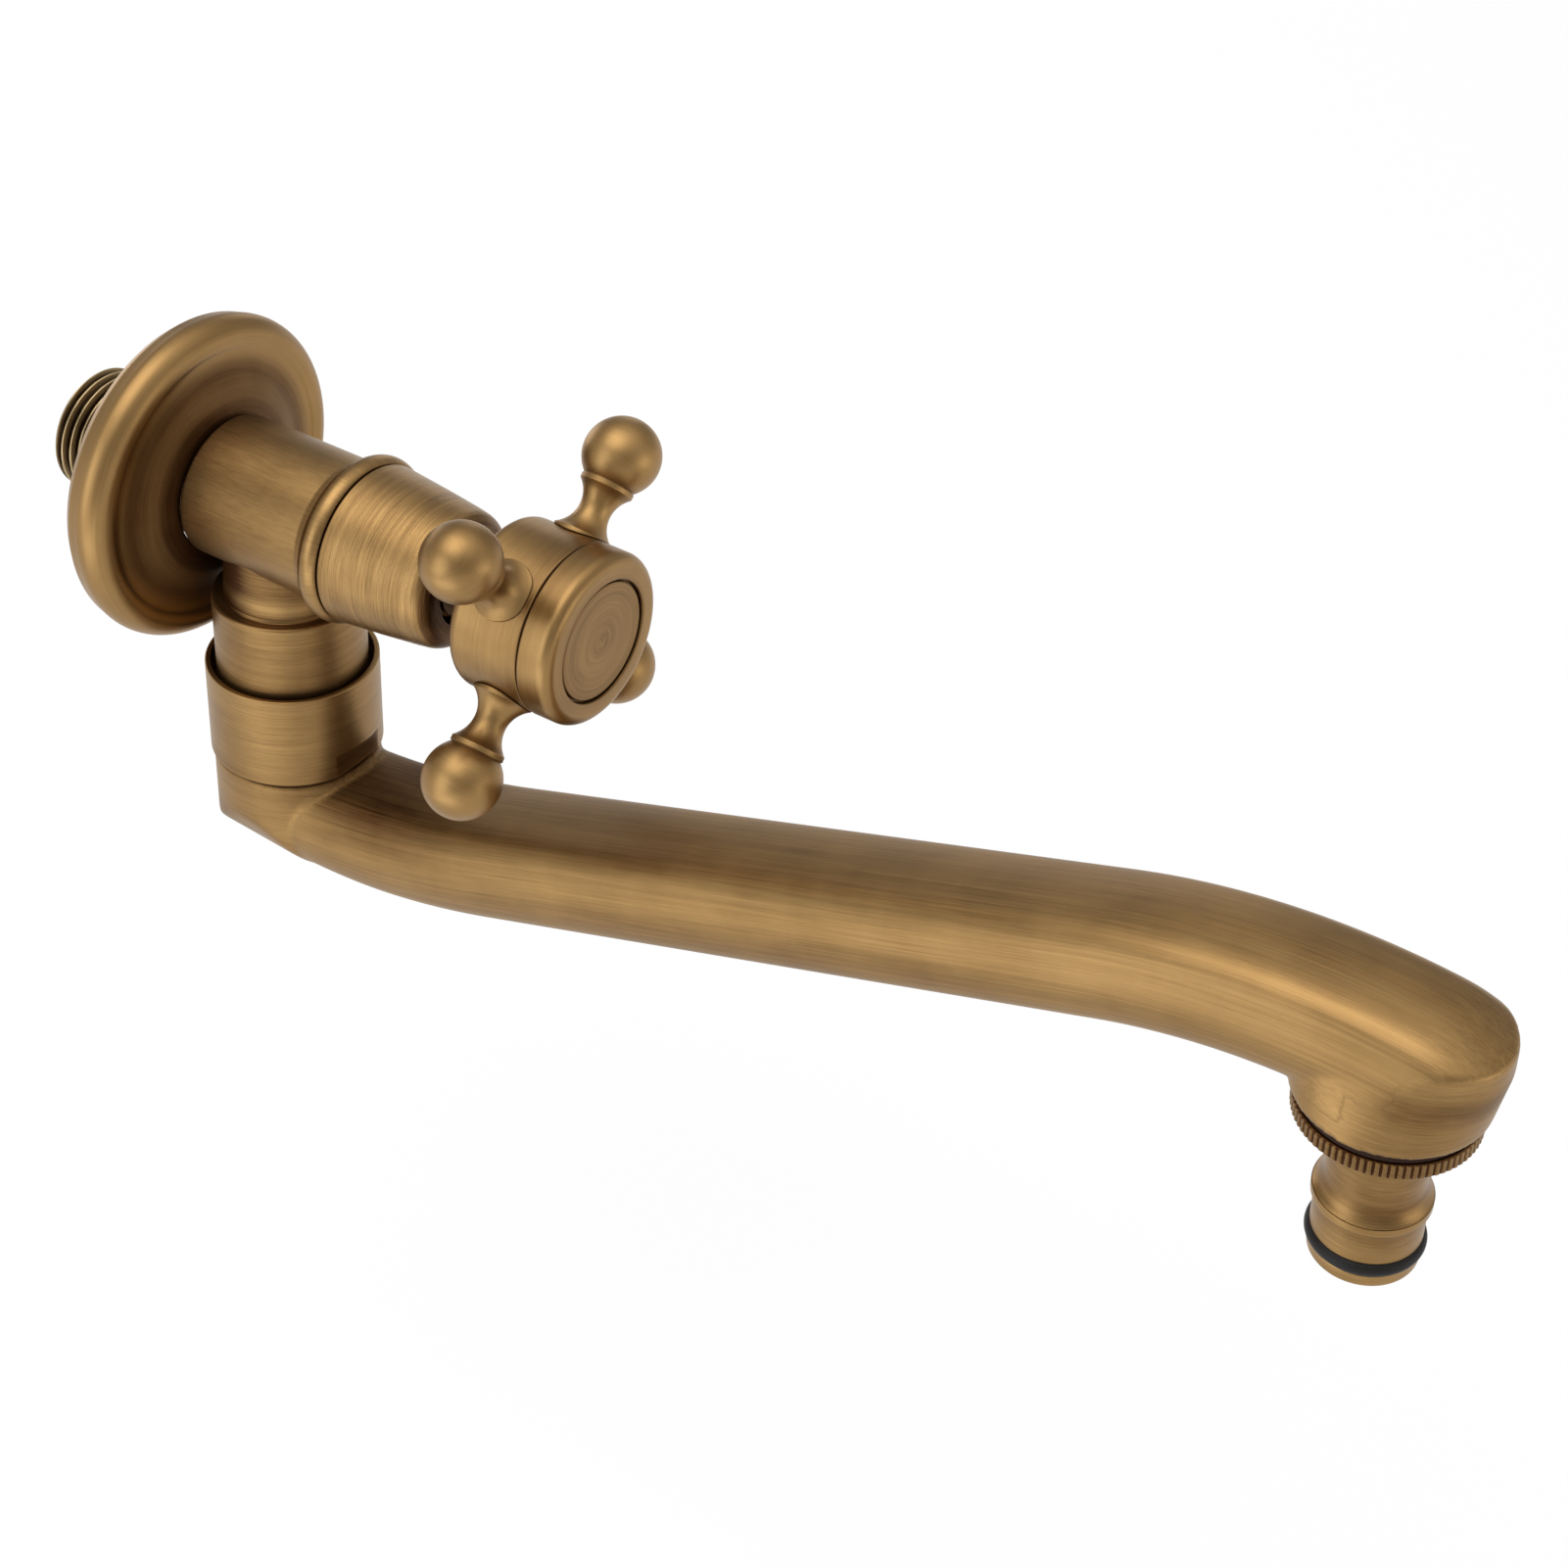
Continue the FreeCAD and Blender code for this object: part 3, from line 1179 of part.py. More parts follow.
def bore_section(name, height, run, rise, tilt):
    """Oval of the arm's hollow: an ellipse a wall's thickness inside the arm."""
    sketch = doc.addObject("Sketcher::SketchObject", name)
    half_width = d.arm_width / 2 - d.arm_wall
    half_height = height / 2 - d.arm_wall
    oval = sketch.addGeometry(Part.Ellipse(V(half_width.number, 0, 0), V(0, half_height.number, 0),
                                           V(0, 0, 0)), False)
    sketch.exposeInternalGeometry(oval)
    sketch.addConstraint(Sketcher.Constraint("Coincident", oval, 3, -1, 1))
    sketch.addConstraint(Sketcher.Constraint("PointOnObject", oval + 1, 1, -1))
    long_axis = Sketcher.Constraint("Distance", oval + 1, 1, oval + 1, 2, half_width.number * 2)
    bind_constraint(sketch, long_axis, half_width * 2)
    short_axis = Sketcher.Constraint("Distance", oval + 2, 1, oval + 2, 2, half_height.number * 2)
    bind_constraint(sketch, short_axis, half_height * 2)
    place_section(sketch, run, rise, tilt)
    return sketch


def make_spout_head():
    """Round head under the nut, with the spigot that turns in the neck."""
    floor = d.spigot_outside - d.ring_groove_depth
    sketch = doc.addObject("Sketcher::SketchObject", "head_outline")
    shoulder = head_top
    slip_groove_top = slip_ring_top + d.fit_gap
    slip_groove_bottom = slip_ring_bottom - d.fit_gap
    draw_outline(sketch, as_points([
        (ZERO, head_bottom),
        (d.head_radius - d.head_round, head_bottom),
        (d.head_radius, head_bottom + d.head_round, d.head_round, 1),
        (d.head_radius, shoulder),
        (d.spigot_outside, shoulder),
        (d.spigot_outside, slip_groove_bottom),
        (floor, slip_groove_bottom),
        (floor, slip_groove_top),
        (d.spigot_outside, slip_groove_top),
        (d.spigot_outside, second_ring - d.ring_groove_width),
        (floor, second_ring - d.ring_groove_width),
        (floor, second_ring),
        (d.spigot_outside, second_ring),
        (d.spigot_outside, first_ring - d.ring_groove_width),
        (floor, first_ring - d.ring_groove_width),
        (floor, first_ring),
        (d.spigot_outside, first_ring),
        (d.spigot_outside, spigot_top),
        (ZERO, spigot_top),
    ]))
    sketch.Placement = FreeCAD.Placement(V(0, 0, 0), FreeCAD.Rotation(ALONG_X, QUARTER))
    head = doc.addObject("Part::Revolution", "head")
    head.Source = sketch
    head.Axis = UP
    head.Base = V(0, 0, 0)
    head.Angle = 360
    head.Solid = True
    doc.recompute()
    return head


def make_connector():
    """Washer, hose connector with its knurled ring, and the O-ring near its tip."""
    washer = turned("outlet_washer", [
        (d.nozzle_bore - d.fit_gap, knurl_top + d.fit_gap),
        (d.washer_radius, knurl_top + d.fit_gap),
        (d.washer_radius, nozzle_bottom - d.fit_gap),
        (d.nozzle_bore - d.fit_gap, nozzle_bottom - d.fit_gap),
    ])
    stand_at(washer, outlet)
    shank = d.nozzle_bore - d.fit_gap * 2
    boss_bottom = knurl_bottom - d.boss_length
    rib_top = knurl_bottom - d.rib_place
    rib_bottom = rib_top - d.rib_width
    flare_rise = d.rib_radius - d.nipple_neck
    flare_run = root(2 * d.flare_radius * flare_rise - flare_rise * flare_rise)
    ring_middle = nipple_tip + d.o_ring_place
    groove_top = ring_middle + d.o_ring_section
    groove_bottom = ring_middle - d.o_ring_section
    groove_floor = d.o_ring_outside - d.o_ring_section * 2 - d.fit_gap
    plug_top = rib_bottom - (d.rib_radius - d.nipple_radius)
    body = turned("hose_connector", [
        (d.nipple_bore, nipple_tip),
        (d.nipple_radius, nipple_tip),
        (d.nipple_radius, groove_bottom),
        (groove_floor, groove_bottom),
        (groove_floor, groove_top),
        (d.nipple_radius, groove_top),
        (d.nipple_radius, plug_top),
        (d.rib_radius, rib_bottom),
        (d.rib_radius, rib_top),
        (d.nipple_neck, rib_top + flare_run, d.flare_radius, -1),
        (d.nipple_neck, boss_bottom),
        (d.boss_radius, boss_bottom),
        (d.boss_radius, knurl_bottom),
        (d.knurl_radius, knurl_bottom),
        (d.knurl_radius, knurl_top),
        (shank, knurl_top),
        (shank, knurl_top + d.shank_length),
        (d.nipple_bore, knurl_top + d.shank_length),
    ])
    round_circles(body, "tip_round", d.tip_round, [(d.nipple_radius, nipple_tip)])
    stand_at(body, outlet)
    ring = o_ring("connector_o_ring", d.o_ring_outside - d.o_ring_section, d.o_ring_section, ring_middle)
    stand_at(ring, outlet)


def check_document():
    """Stops if an object failed or a sub-part isn't one valid shape."""
    for item in doc.Objects:
        if "Invalid" in item.State or "Error" in item.State:
            raise RuntimeError(f"{item.Label} failed to build")
    for part in parts:
        shape = part.Shape
        if shape.isNull() or not shape.isValid() or not shape.Solids:
            raise RuntimeError(f"{part.Label} has no valid solid")


make_inlet_tail()
make_wall_flange()
make_valve_body()
make_cartridge()
make_bonnet_cover()
make_handle()
make_spout_nut()
make_spout()
make_connector()
doc.recompute()
check_document()
for part in parts:
    part.Shape.exportStep(f"parts/{part.Label}.step")
    box = part.Shape.BoundBox
    print(f"{part.Label}: {len(part.Shape.Solids)} solid, {part.Shape.Volume:.0f} mm3,"
          f" y {box.YMin:.1f} to {box.YMax:.1f}, z {box.ZMin:.1f} to {box.ZMax:.1f}")
print(f"{len(parts)} sub-parts; straight run of the arm {straight_length.number:.2f} mm,"
      f" nozzle face {nozzle_bottom.number:.2f} mm from the tap axis")
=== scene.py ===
# %% [markdown]
# # A garden faucet in antique brass
# The object is a wall tap: flange, valve body, cross handle, swivel spout and hose connector.
# The frame holds the measured solids and their joints. It is loaded first, because every
# new piece takes its place and its motion from it.

# %% Load the frame
import math
import bmesh
import bpy
import numpy as np
from mathutils import Matrix


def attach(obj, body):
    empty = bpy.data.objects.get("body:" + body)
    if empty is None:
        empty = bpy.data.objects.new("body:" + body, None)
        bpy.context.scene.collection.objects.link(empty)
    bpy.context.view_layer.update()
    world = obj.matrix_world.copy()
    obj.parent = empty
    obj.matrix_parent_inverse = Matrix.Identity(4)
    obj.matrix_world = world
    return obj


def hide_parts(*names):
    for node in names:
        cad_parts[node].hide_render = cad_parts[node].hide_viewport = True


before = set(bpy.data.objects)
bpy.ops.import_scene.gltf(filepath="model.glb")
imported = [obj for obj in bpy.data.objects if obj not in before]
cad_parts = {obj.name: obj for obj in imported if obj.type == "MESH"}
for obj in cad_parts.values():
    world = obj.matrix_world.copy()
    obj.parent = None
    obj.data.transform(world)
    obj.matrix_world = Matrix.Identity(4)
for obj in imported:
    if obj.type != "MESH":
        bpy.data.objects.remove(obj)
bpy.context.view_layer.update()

MM = 0.001

# %% [markdown]
# ## Edges that catch the light
# No edge on the real tap is a knife edge: each has a small rounding, which shows as a thin
# bright line. A Bevel modifier could make them, but here each outline is rounded before it is
# turned, because a turned part is nothing but its outline. The corner's arc touches both
# lines, and one more point on each side keeps the flat faces flat when they are shaded smooth.

# %% Rounded outlines
def rounded(corners, steps=5):
    """Outline (r, h) in mm; each corner (r, h, radius) becomes an arc that touches both sides.

    With half the turning angle t at a corner, the arc starts radius * tan(t) before it and its
    centre lies radius / cos(t) from it, on the line that halves the angle.
    """
    points = np.array([corner[:2] for corner in corners], float)
    radii = [corner[2] if len(corner) > 2 else 0.0 for corner in corners]
    line = []
    for index, (spot, radius) in enumerate(zip(points, radii)):
        if radius <= 0 or index in (0, len(points) - 1):
            line.append(spot[None])
            continue
        back = points[index - 1] - spot
        ahead = points[index + 1] - spot
        back_length, ahead_length = np.linalg.norm(back), np.linalg.norm(ahead)
        back, ahead = back / back_length, ahead / ahead_length
        half_turn = (math.pi - math.acos(np.clip(back @ ahead, -1, 1))) / 2
        radius = min(radius, 0.48 * min(back_length, ahead_length) / max(math.tan(half_turn), 1e-6))
        reach = radius * math.tan(half_turn)
        middle = back + ahead
        centre = spot + middle / np.linalg.norm(middle) * radius / math.cos(half_turn)
        first = spot + back * reach - centre
        last = spot + ahead * reach - centre
        share = np.linspace(0, 1, steps + 1)[:, None]
        bend = 2 * half_turn
        curve = (np.sin((1 - share) * bend) * first + np.sin(share * bend) * last) / math.sin(bend)
        edge = radius * 0.12
        line.append((spot + back * (reach + edge))[None])
        line.append(centre + curve)
        line.append((spot + ahead * (reach + edge))[None])
    return np.concatenate(line)


def arc(centre, radius, start, end, steps=24):
    """Corners along an arc in the (r, h) plane, from one angle to another in degrees."""
    angle = np.radians(np.linspace(start, end, steps + 1))
    return [tuple(spot) for spot in
            np.column_stack([centre[0] + radius * np.cos(angle), centre[1] + radius * np.sin(angle)])]


def travelled(outline):
    """Distance along an outline at each of its points."""
    return np.concatenate([[0], np.cumsum(np.linalg.norm(np.diff(outline, axis=0), axis=1))])


def evenly(outline, count):
    """Evenly spaced points along a closed outline, whose last point repeats the first."""
    way = travelled(outline)
    places = np.linspace(0, way[-1], count, endpoint=False)
    return np.column_stack([np.interp(places, way, outline[:, axis]) for axis in (0, 1)])


# %% [markdown]
# ## Turning an outline
# Nearly every piece of a tap is turned on a lathe, so its surface is a function of two
# numbers: how far along the outline, and which way round. A Spin or Screw modifier would do
# the same, but whole numpy arrays also let a radius change with the angle, as on a thread,
# on knurls and on spanner flats. Each vertex also stores its lay, the direction in which the
# polishing belt ran: two slow numbers round the axis and a fast one along the outline.

# %% Grids and lathes
OUTWARD = np.array([[1, 0, 0], [0, 0, 1], [0, -1, 0]], float)  # rows: cos, sin and height
UPRIGHT = np.eye(3)
TAP, SWIVEL = (0, 0, 0), (0, -21.54, 0)  # a point of each axis


def add_object(name, data):
    """Object with this data, linked to the scene."""
    made = bpy.data.objects.new(name, data)
    bpy.context.collection.objects.link(made)
    return made


def store(mesh, lay, tone=None):
    """Keeps the lay and the tone of each vertex on the mesh, where its material reads them."""
    flow = mesh.attributes.new("lay", "FLOAT_VECTOR", "POINT")
    flow.data.foreach_set("vector", lay.reshape(-1).astype(np.float32))
    if tone is not None:
        brown = mesh.attributes.new("tone", "FLOAT", "POINT")
        brown.data.foreach_set("value", tone.reshape(-1).astype(np.float32))


def grid_piece(name, points, lay, ring=False, tone=None):
    """Object from points[row, column, 3] in mm; columns close on themselves, rows in a ring only.

    tone holds how dark each point is made, from 0 to 1: patina in hollows, and painted shade in joints,
    under parts and on faces that get less light.
    """
    rows, columns = points.shape[:2]
    index = np.arange(rows * columns).reshape(rows, columns)
    last = rows if ring else rows - 1
    near = index[np.arange(last)]
    far = index[(np.arange(last) + 1) % rows]
    quads = np.stack([near, np.roll(near, -1, 1), np.roll(far, -1, 1), far], axis=-1).reshape(-1, 4)
    mesh = bpy.data.meshes.new(name)
    mesh.from_pydata((points.reshape(-1, 3) * MM).tolist(), [], quads.tolist())
    store(mesh, lay, tone)
    close_up(mesh)
    return add_object(name, mesh)


def close_up(mesh):
    """Merges poles and seams, turns the faces outwards and shades them smooth."""
    work = bmesh.new()
    work.from_mesh(mesh)
    bmesh.ops.remove_doubles(work, verts=work.verts, dist=2e-7)
    bmesh.ops.dissolve_degenerate(work, edges=work.edges, dist=1e-8)
    bmesh.ops.recalc_face_normals(work, faces=work.faces)
    work.to_mesh(mesh)
    work.free()
    mesh.shade_smooth()


def turn(name, outline, axes=OUTWARD, centre=TAP, columns=192, bend=None, ring=False, fineness=5.0,
         sweep=1.2, tone=None):
    """Turned piece: point = centre + radius * (cos, sin) across the axis + height along it.

    bend(radius, height, angle) may change the radius, as whole arrays over rows and columns,
    and tone(radius, height, angle) gives how brown the surface is, as patina and painted shade. The
    brush lines are long where the lay changes slowly: sweep is its change round the axis, fineness that
    across it.
    """
    radius = np.repeat(outline[:, :1], columns, 1)
    height = np.repeat(outline[:, 1:2], columns, 1)
    angle = np.tile(np.linspace(0, 2 * np.pi, columns, endpoint=False), (len(outline), 1))
    if bend is not None:
        radius = bend(radius, height, angle)
    local = np.stack([radius * np.cos(angle), radius * np.sin(angle), height], axis=-1)
    along = np.repeat(travelled(outline)[:, None], columns, 1)
    lay = np.stack([np.cos(angle) * sweep, np.sin(angle) * sweep, along * fineness], axis=-1)
    brown = None if tone is None else np.clip(tone(radius, height, angle), 0, 1)
    return grid_piece(name, np.asarray(centre, float) + local @ axes, lay, ring, brown)


def bump(value, place, width):
    """Soft hump of height 1 round a place."""
    return np.exp(-((value - place) / width) ** 2)


def ramp(value, low, high):
    """0 below low, 1 above high and an S-curve between them."""
    share = np.clip((value - low) / (high - low), 0, 1)
    return share * share * (3 - 2 * share)


# %% [markdown]
# ## The look of antique brass
# The tap is brass that was browned chemically and then brushed with a fine belt, so the high
# places are golden and the low ones brown. One group makes this for every brass piece. It
# stretches a noise along the lay for the brush lines, adds a slow mottling, and darkens by a
# mask: patina in hollows, and painted shade in joints, under parts and on faces that get less
# light, with a few lighter bands as painted highlights. It gives a colour, a roughness and a
# height, and the shader stays in the material, where the export can read it.

# %% Helpers for nodes
def put(tree, kind, inputs=None, **settings):
    """Adds the node ShaderNode + kind; inputs are numbers, colours or sockets by name or place."""
    made = tree.nodes.new("ShaderNode" + kind)
    for key, value in settings.items():
        setattr(made, key, value)
    for key, value in (inputs or {}).items():
        socket = made.inputs[key]
        if isinstance(value, bpy.types.NodeSocket):
            tree.links.new(value, socket)
        else:
            socket.default_value = value
    return made


def new_group(name, inputs, outputs):
    """Node group with named sockets; each entry is (name, kind, default)."""
    group = bpy.data.node_groups.new(name, "ShaderNodeTree")
    for label, kind, default in inputs:
        socket = group.interface.new_socket(name=label, in_out="INPUT", socket_type=kind)
        if default is not None:
            socket.default_value = default
    for label, kind in outputs:
        group.interface.new_socket(name=label, in_out="OUTPUT", socket_type=kind)
    return group, group.nodes.new("NodeGroupInput"), group.nodes.new("NodeGroupOutput")


def blend_colour(tree, share, low, high):
    """Mixed colour, as a socket."""
    return put(tree, "Mix", {0: share, 6: low, 7: high}, data_type="RGBA").outputs[2]


def spread(tree, value, low, high, start, end):
    """A value carried from one range to another, as a socket."""
    return put(tree, "MapRange", {0: value, 1: low, 2: high, 3: start, 4: end}).outputs[0]


def calc(tree, first, second, mode="MULTIPLY"):
    """Product of two numbers or sockets, or another operation on them, as a socket."""
    return put(tree, "Math", {0: first, 1: second}, operation=mode).outputs[0]


def vector_calc(tree, first, second, mode="MULTIPLY"):
    """Product or dot product of two vectors, as a socket."""
    made = put(tree, "VectorMath", {0: first, 1: second}, operation=mode)
    return made.outputs["Value" if mode == "DOT_PRODUCT" else "Vector"]


def noise(tree, place, scale, detail, rough=0.5):
    """Noise between 0 and 1 at a place, as a socket."""
    return put(tree, "TexNoise", {"Vector": place, "Scale": scale, "Detail": detail,
                                  "Roughness": rough}).outputs[0]


# %% Brushed metal group
FLOAT, COLOUR, VECTOR = "NodeSocketFloat", "NodeSocketColor", "NodeSocketVector"
GOLD, BROWN = (0.365, 0.220, 0.084, 1), (0.070, 0.027, 0.009, 1)
BASE_LEVEL = 0.82  # share of gold before lines, blotches and the mask of patina and painted shade change it
LINE_SHARE, BAND_SHARE, MOTTLE_SHARE, SHADE_AND_PATINA_SHARE = 0.42, 0.18, 0.24, 0.85
brush, brush_in, brush_out = new_group(
    "brushed_metal",
    [("Lay", VECTOR, None), ("Place", VECTOR, None), ("High colour", COLOUR, GOLD),
     ("Low colour", COLOUR, BROWN), ("Lines", FLOAT, 1.0), ("Mottle", FLOAT, 1.0),
     ("Shade and patina", FLOAT, 0.0), ("Roughness", FLOAT, 0.33)],
    [("Colour", COLOUR), ("Roughness", FLOAT), ("Height", FLOAT)])
given = brush_in.outputs
fine = noise(brush, given["Lay"], 1.0, 4.0, 0.65)
wide = noise(brush, vector_calc(brush, given["Lay"], (0.6, 0.6, 0.22)), 1.0, 2.0)
cloud = noise(brush, given["Place"], 70.0, 3.0, 0.6)
lines = calc(brush, spread(brush, fine, 0.28, 0.72, -0.5, 0.5), given["Lines"])
bands = calc(brush, spread(brush, wide, 0.3, 0.7, -0.5, 0.5), given["Lines"])
mottle = calc(brush, spread(brush, cloud, 0.3, 0.7, -0.5, 0.5), given["Mottle"])
shade = calc(brush, calc(brush, lines, LINE_SHARE), calc(brush, bands, BAND_SHARE), "ADD")
shade = calc(brush, shade, calc(brush, mottle, MOTTLE_SHARE), "ADD")
level = calc(brush, BASE_LEVEL, shade, "ADD")
# the mask darkens towards the brown: patina in hollows and painted shade
level = calc(brush, level, calc(brush, given["Shade and patina"], SHADE_AND_PATINA_SHARE), "SUBTRACT")
level = put(brush, "Clamp", {0: level, 1: 0.0, 2: 1.0}).outputs[0]
blended = blend_colour(brush, level, given["Low colour"], given["High colour"])
brush.links.new(blended, brush_out.inputs["Colour"])
rough = calc(brush, given["Roughness"], calc(brush, lines, 0.07), "ADD")
rough = calc(brush, rough, calc(brush, mottle, 0.05), "ADD")
rough = calc(brush, rough, calc(brush, given["Shade and patina"], 0.15), "ADD")
brush.links.new(rough, brush_out.inputs["Roughness"])
brush.links.new(calc(brush, lines, calc(brush, bands, 0.6), "ADD"), brush_out.inputs["Height"])
print("brushed metal group:", len(brush.nodes), "nodes")

# %% Brass and plain materials
LINE_RELIEF = 0.03 * MM


def new_material(name, metal):
    """Material with its tree, its shader and the place on the piece in Object coordinates."""
    material = bpy.data.materials.new(name)
    material.use_nodes = True
    tree = material.node_tree
    shader = tree.nodes["Principled BSDF"]
    shader.inputs["Metallic"].default_value = metal
    return material, tree, shader, put(tree, "TexCoord").outputs["Object"]


def feed(tree, shader, colour, rough, height, strength):
    """Links a colour, a roughness and a height, which becomes fine relief, to the shader."""
    relief = put(tree, "Bump", {"Strength": strength, "Distance": LINE_RELIEF,
                                "Height": height}).outputs[0]
    for socket, label in ((colour, "Base Color"), (rough, "Roughness"), (relief, "Normal")):
        tree.links.new(socket, shader.inputs[label])


def brass(name, lines=1.0, mottle=1.0, rough=0.38, high=GOLD, low=BROWN, recess=None):
    """Brushed brass; its mask of patina and painted shade is the piece's own tone, or comes from
    recess(tree, place).
    """
    material, tree, shader, place = new_material(name, 1.0)
    if recess is None:
        mask = put(tree, "Attribute", attribute_name="tone").outputs["Fac"]
    else:
        mask = recess(tree, place)
    flow = put(tree, "Attribute", attribute_name="lay").outputs["Vector"]
    made = put(tree, "Group", {
        "Lay": flow, "Place": place, "Shade and patina": mask, "High colour": high, "Low colour": low,
        "Lines": lines, "Mottle": mottle, "Roughness": rough}, node_tree=brush).outputs
    feed(tree, shader, made["Colour"], made["Roughness"], made["Height"], 0.5)
    return material


def plain(name, colour, rough, metal=0.0, grain=900.0, shine=0.5):
    """Simple finish with a fine irregular tone; grain is the scale of its noise per metre."""
    material, tree, shader, place = new_material(name, metal)
    speck = noise(tree, place, grain, 4.0)
    darker = tuple(channel * 0.76 for channel in colour) + (1,)
    tone = blend_colour(tree, spread(tree, speck, 0.3, 0.7, 0.0, 1.0), darker, colour + (1,))
    feed(tree, shader, tone, spread(tree, speck, 0.3, 0.7, rough - 0.05, rough + 0.05), speck, 0.25)
    shader.inputs["Specular IOR Level"].default_value = shine
    return material


turned_brass = brass("turned_brass", lines=0.85)
soft_brass = brass("satin_brass", lines=0.65, mottle=0.7, rough=0.40)
rubber = plain("black_rubber", (0.014, 0.012, 0.011), 0.50, grain=2200, shine=0.2)
ceramic = plain("lapped_ceramic", (0.86, 0.85, 0.81), 0.22)
steel = plain("machined_steel", (0.42, 0.40, 0.37), 0.34, metal=1.0)
slip_plastic = plain("slip_plastic", (0.78, 0.77, 0.73), 0.5)
# machined brass, its colour darkened as painted shade for the gap behind the cover
gap_shaded_brass = plain("machined_brass_painted_shade", (0.20, 0.12, 0.05), 0.40, metal=1.0)
dark_washer = plain("dark_washer", (0.034, 0.015, 0.009), 0.65, grain=1600, shine=0.12)
print("materials:", len(bpy.data.materials))


def dress(piece, material, body, *nodes):
    """Gives a piece its finish, its body and the nodes that it stands for."""
    piece.data.materials.clear()
    piece.data.materials.append(material)
    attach(piece, body)
    if nodes:
        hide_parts(*nodes)
    print(f"{piece.name}: {len(piece.data.polygons)} faces, rides on {body}")


# %% [markdown]
# ## Inlet tail
# Behind the wall flange a short G 1/2 thread shows: fourteen turns to the inch, with brown
# grooves and bright crests. A helix of separate ridges could be swept, but a thread is only a
# radius that rises and falls with height plus angle, so the turned grid makes it directly.

# %% Shape of the thread
PITCH = 25.4 / 14
THREAD_CREST, THREAD_DEPTH = 10.4775, 1.162
TAIL_END, CHAMFER_START, CHAMFER_DEPTH = -18.5, -17.6, 0.9


def thread_bend(radius, height, angle):
    """Groove depth is a rounded V of (height / pitch + angle / turn), cut off by the chamfer."""
    phase = (height / PITCH + angle / (2 * np.pi)) % 1.0
    from_crest = np.abs(phase - 0.5) * 2
    groove = THREAD_DEPTH * (1 - np.clip(1.18 - 1.3 * from_crest, 0, 1) ** 1.2)
    cut = THREAD_CREST - groove
    chamfer = THREAD_CREST - np.clip(CHAMFER_START - height, 0, CHAMFER_DEPTH)
    threaded = (height < 0.4) & (height > TAIL_END + 0.01) & (radius > 10.3)
    return np.where(threaded, np.minimum(cut, chamfer), radius)


tail_rows = [(6.4, 15.4), (6.4, -18.2), (6.7, TAIL_END), (9.4, TAIL_END)]
tail_rows += [(THREAD_CREST, height) for height in np.arange(-18.45, 0.4, PITCH / 16)]
tail_rows += [(10.2, 0.5), (10.2, 10.55), (8.2, 10.6), (8.2, 15.5), (6.4, 15.5)]


# %% Tail and its finish
def groove_recess(tree, place):
    """Mask from 1 in the grooves to 0 on the crests, by the distance from the tap axis in mm."""
    flat = vector_calc(tree, place, (1 / MM, 0.0, 1 / MM))
    distance = put(tree, "VectorMath", {0: flat}, operation="LENGTH").outputs["Value"]
    return spread(tree, distance, 9.7, 10.45, 1.0, 0.0)


thread_brass = brass("thread_brass", lines=0.5, rough=0.34, recess=groove_recess,
                     high=(0.52, 0.38, 0.20, 1), low=(0.022, 0.010, 0.005, 1))
tail = turn("threaded_tail", np.array(tail_rows), columns=160, bend=thread_bend)
dress(tail, thread_brass, "tap", "inlet_tail")

# %% [markdown]
# ## Wall flange
# The flange is a thin spun shell: a rolled rim, a shallow cove inside it, then a slope up to
# a thin lip behind the body. It hangs a little low, because its hole is wider than the tail.
# Its lay runs round the middle.

# %% Flange
FLANGE_DROP = 0.70
flange_outline = rounded(
    [(10.95, 8.7, 0), (10.95, 10.15, 0.5), (14.9, 9.35, 6), (19.3, 7.75, 9)]
    + arc((24.1, 4.5), 3.4, 118, -20, 26)
    + [(26.9, 1.6, 1.5), (25.65, 0, 0.4), (20.4, 0, 0.4), (20.4, 4.5, 1.5), (10.95, 8.7, 0)])


def flange_shade_and_patina(radius, height, angle):
    """Patina and painted shade in the cove inside the rim, painted shade next to the body, and a
    painted highlight band between them.
    """
    cove = 0.74 * (1 - ramp(radius, 19.0, 23.0))
    return cove - 0.16 * bump(radius, 16.4, 1.6) + 0.20 * (1 - ramp(radius, 12.0, 15.5))


flange = turn("flange_shell", flange_outline, centre=(0, 0, -FLANGE_DROP), columns=288,
              tone=flange_shade_and_patina)
flange_brass = brass("flange_brass", lines=0.42, mottle=0.6, rough=0.39)
dress(flange, flange_brass, "tap", "wall_flange")

# %% [markdown]
# ## Valve body
# A horizontal barrel with a raised bead in front and a branch below, which widens into the
# neck. Two turned grids cross each other, and a third closes the corner between them: a
# ball that rolls along the crossing touches both, and the arc between its two touching
# points is the fillet. A Boolean with a Bevel would need far more faces for the same curve.

# %% Barrel
barrel_outline = rounded(
    [(10.25, 10.6, 0), (11.88, 10.6, 0.45), (11.9, 34.3, 1.5), (12.2, 35.62, 0.3)]
    + arc((11.5, 38.0), 2.5, -71, 38, 22)
    + [(13.2, 39.76, 0.1), (10.55, 39.76, 0.1), (10.55, 34.0, 0), (9.4, 31.0, 0)])


def barrel_shade(radius, height, angle):
    """Painted shade next to the flange, in a soft patch in the middle, on both sides of the bead, and
    evenly over all.
    """
    ends = 0.42 * (1 - ramp(height, 10.9, 13.2)) + 0.45 * ramp(height, 39.5, 39.75)
    return 0.04 + ends + 0.14 * bump(height, 20.0, 7.0) + 0.10 * bump(height, 35.4, 0.5)


barrel = turn("valve_barrel", barrel_outline, columns=256, fineness=0.3, sweep=50.0, tone=barrel_shade)
body_brass = brass("body_brass", lines=0.65, rough=0.34)
dress(barrel, body_brass, "tap", "valve_body")

